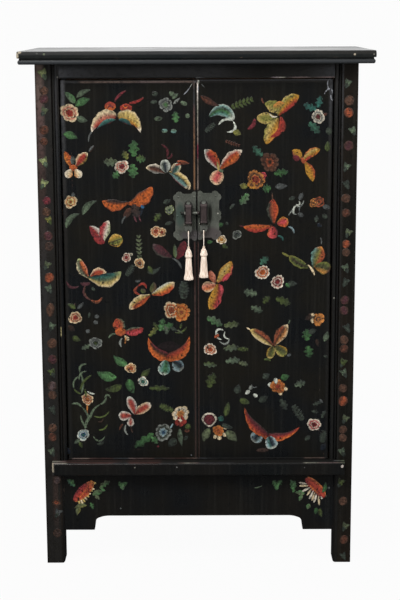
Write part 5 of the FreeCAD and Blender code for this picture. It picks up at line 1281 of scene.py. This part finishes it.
def wraps(name, body, x, z, half, wire, turns, rise):
    """Thread wound round a tassel: a tube along a helix of that many turns and rise."""
    steps, sides = 36 * turns + 1, 8
    t = np.linspace(0, 1, steps)[:, None]
    b = np.linspace(0, 2 * np.pi, sides, endpoint=False)[None, :]
    a = 2 * np.pi * turns * t
    reach = half + wire * np.cos(b)
    points = np.stack([x + reach * np.cos(a), TASSEL_Y + FLATNESS * reach * np.sin(a),
                       z + rise * (t - 0.5) + wire * np.sin(b)], axis=-1)
    ends = np.stack([np.arange(sides)[::-1], (steps - 1) * sides + np.arange(sides)])
    new_piece(name, points.reshape(-1, 3),
              ring_faces(steps, sides)[:, [0, 3, 2, 1]].tolist() + ends.tolist(), tie_cotton,
              body)


CORD_DIAMETER = 0.003
# The cord's way up, over the pull's rim and down again: Y, the height that it is measured
# from, how far above that it is, and its thickness over its diameter.
CORD_WAY = (
    (-0.2495, "top", -0.002, 0.75), (-0.2506, "rim", -0.014, 0.80),
    (-0.2510, "rim", 0.004, 1.15), (-0.2430, "rim", 0.004, 1.15),
    (-0.2434, "rim", -0.014, 0.80), (-0.2445, "top", -0.002, 0.75),
)
for side, (x, top, hem, rim, head, hem_half) in TASSELS.items():
    body = side + "_tassel"
    tassel(side, x, top, hem, head, hem_half)
    wraps(side + "_tassel_tie", body, x, top - head - 0.001, 0.0086, 0.0007, 3, 0.0026)
    wraps(side + "_tassel_knot", body, x, top - 0.002, 0.0034, 0.0006, 3, 0.0026)
    loop = bpy.data.curves.new(side + "_tassel_loop", "CURVE")
    loop.dimensions = "3D"
    loop.bevel_depth = CORD_DIAMETER / 2
    loop.bevel_resolution = 4
    loop.resolution_u = 16
    loop.use_fill_caps = True
    heights = {"top": top, "rim": rim}
    route = [(x, y, heights[start] + rise) for y, start, rise, _ in CORD_WAY]
    line = loop.splines.new("NURBS")
    line.points.add(len(route) - 1)
    line.points.foreach_set("co", np.column_stack([route, np.ones(len(route))]).ravel())
    line.order_u = 3
    line.use_endpoint_u = True
    line.points.foreach_set("radius", [thickness for *_, thickness in CORD_WAY])
    loop.materials.append(tassel_cotton)
    cord = bpy.data.objects.new(side + "_tassel_loop", loop)
    bpy.context.scene.collection.objects.link(cord)
    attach(cord, body)
    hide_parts(side + "_tassel_cord")


# ---- Floor, lamps and camera ------------------------------------------------------------
# A plain white floor that keeps a soft shadow, under an even white sky and two broad lamps.

WHITE = "fcfcfc"


def stage_floor():
    """The floor: white to the camera, whitest away from the cabinet, and dim in the brass
    and the lacquer."""
    material, tree, place = new_material("white_floor")
    paper = add_node(tree, "BsdfDiffuse", [("Color", linear("f2f2f2"))])
    dim = add_node(tree, "BsdfDiffuse", [("Color", linear("3c3c3c"))])
    glow = add_node(tree, "Emission", [("Color", linear(WHITE)), ("Strength", 1.0)])
    seen = add_node(tree, "LightPath")
    shone = add_node(tree, "MixShader", [(0, seen.outputs["Is Glossy Ray"]),
                                         (1, paper.outputs[0]), (2, dim.outputs[0])])
    away = add_node(tree, "VectorMath", [(0, place), (1, (0.0, 0.0, 0.0))],
                    operation="DISTANCE")
    share = add_node(tree, "MapRange", [("Value", away.outputs["Value"]), ("From Min", 0.3),
                                        ("From Max", 1.6), ("To Min", 0.985),
                                        ("To Max", 1.0)])
    camera_share = add_node(tree, "Math", [(0, seen.outputs["Is Camera Ray"]),
                                           (1, share.outputs[0])], operation="MULTIPLY")
    lit = add_node(tree, "MixShader", [(0, camera_share.outputs[0]), (1, shone.outputs[0]),
                                       (2, glow.outputs[0])])
    add_node(tree, "OutputMaterial", [("Surface", lit.outputs[0])])
    mesh = bpy.data.meshes.new("floor")
    mesh.from_pydata([(-9, -7, 0), (9, -7, 0), (9, 11, 0), (-9, 11, 0)], [], [(0, 1, 2, 3)])
    mesh.materials.append(material)
    floor = bpy.data.objects.new("floor", mesh)
    bpy.context.scene.collection.objects.link(floor)


stage_floor()
world = bpy.data.worlds.new("white_surround")
bpy.context.scene.world = world
world.use_nodes = True
sky = world.node_tree
sky.nodes.clear()
seen = add_node(sky, "LightPath")
# Reflections see a bright wall behind the cabinet and a dim room in front of it.
way = add_node(sky, "TexCoord")
split = add_node(sky, "SeparateXYZ", [("Vector", way.outputs["Generated"])])
mirrored = add_node(sky, "MapRange", [("Value", split.outputs["Y"]), ("From Min", -0.1),
                                      ("From Max", 0.4), ("To Min", 0.10), ("To Max", 1.6)])
soft = add_node(sky, "Mix", [("Factor", seen.outputs["Is Glossy Ray"]), ("A", 0.40),
                             ("B", mirrored.outputs[0])], data_type="FLOAT")
strength = add_node(sky, "Mix", [("Factor", seen.outputs["Is Camera Ray"]),
                                 ("A", soft.outputs[0]), ("B", 1.0)], data_type="FLOAT")
shone = add_node(sky, "Background", [("Color", linear(WHITE)),
                                     ("Strength", strength.outputs[0])])
add_node(sky, "OutputWorld", [("Surface", shone.outputs[0])])

LAMPS = (                     # name, place, aimed at, width and height (m), watts
    ("key_lamp", (-1.8, -3.4, 5.2), (0, 0, 0.9), 2.6, 1.8, 300),
    ("fill_lamp", (3.6, -3.2, 2.6), (0, 0, 0.9), 2.6, 2.6, 60),
)
for name, place, aim, wide, high, watts in LAMPS:
    light = bpy.data.lights.new(name, "AREA")
    light.shape = "RECTANGLE"
    light.size, light.size_y, light.energy = wide, high, watts
    lamp = bpy.data.objects.new(name, light)
    bpy.context.scene.collection.objects.link(lamp)
    lamp.location = place
    way = np.array(aim, float) - np.array(place)
    pitch = np.arccos(-way[2] / np.linalg.norm(way))
    lamp.rotation_euler = (pitch, 0, np.arctan2(-way[0], way[1]))

CAMERA_PLACE = (0.0258, -4.7070, 1.7815)
CAMERA_LENS = 85.08                                       # mm
CAMERA_TURN, CAMERA_TILT, CAMERA_ROLL = 0.232, 78.718, -0.242      # degrees
cam = bpy.data.cameras.new("camera")
cam.lens = CAMERA_LENS
camera = bpy.data.objects.new("camera", cam)
bpy.context.scene.collection.objects.link(camera)
camera.location = CAMERA_PLACE
turn = Euler(np.radians((0, 0, CAMERA_TURN))).to_quaternion()
tilt = Euler(np.radians((CAMERA_TILT, 0, 0))).to_quaternion()
roll = Euler(np.radians((0, 0, CAMERA_ROLL))).to_quaternion()
camera.rotation_euler = (turn @ tilt @ roll).to_euler()
bpy.context.scene.camera = camera
bpy.context.scene.view_settings.view_transform = "Standard"
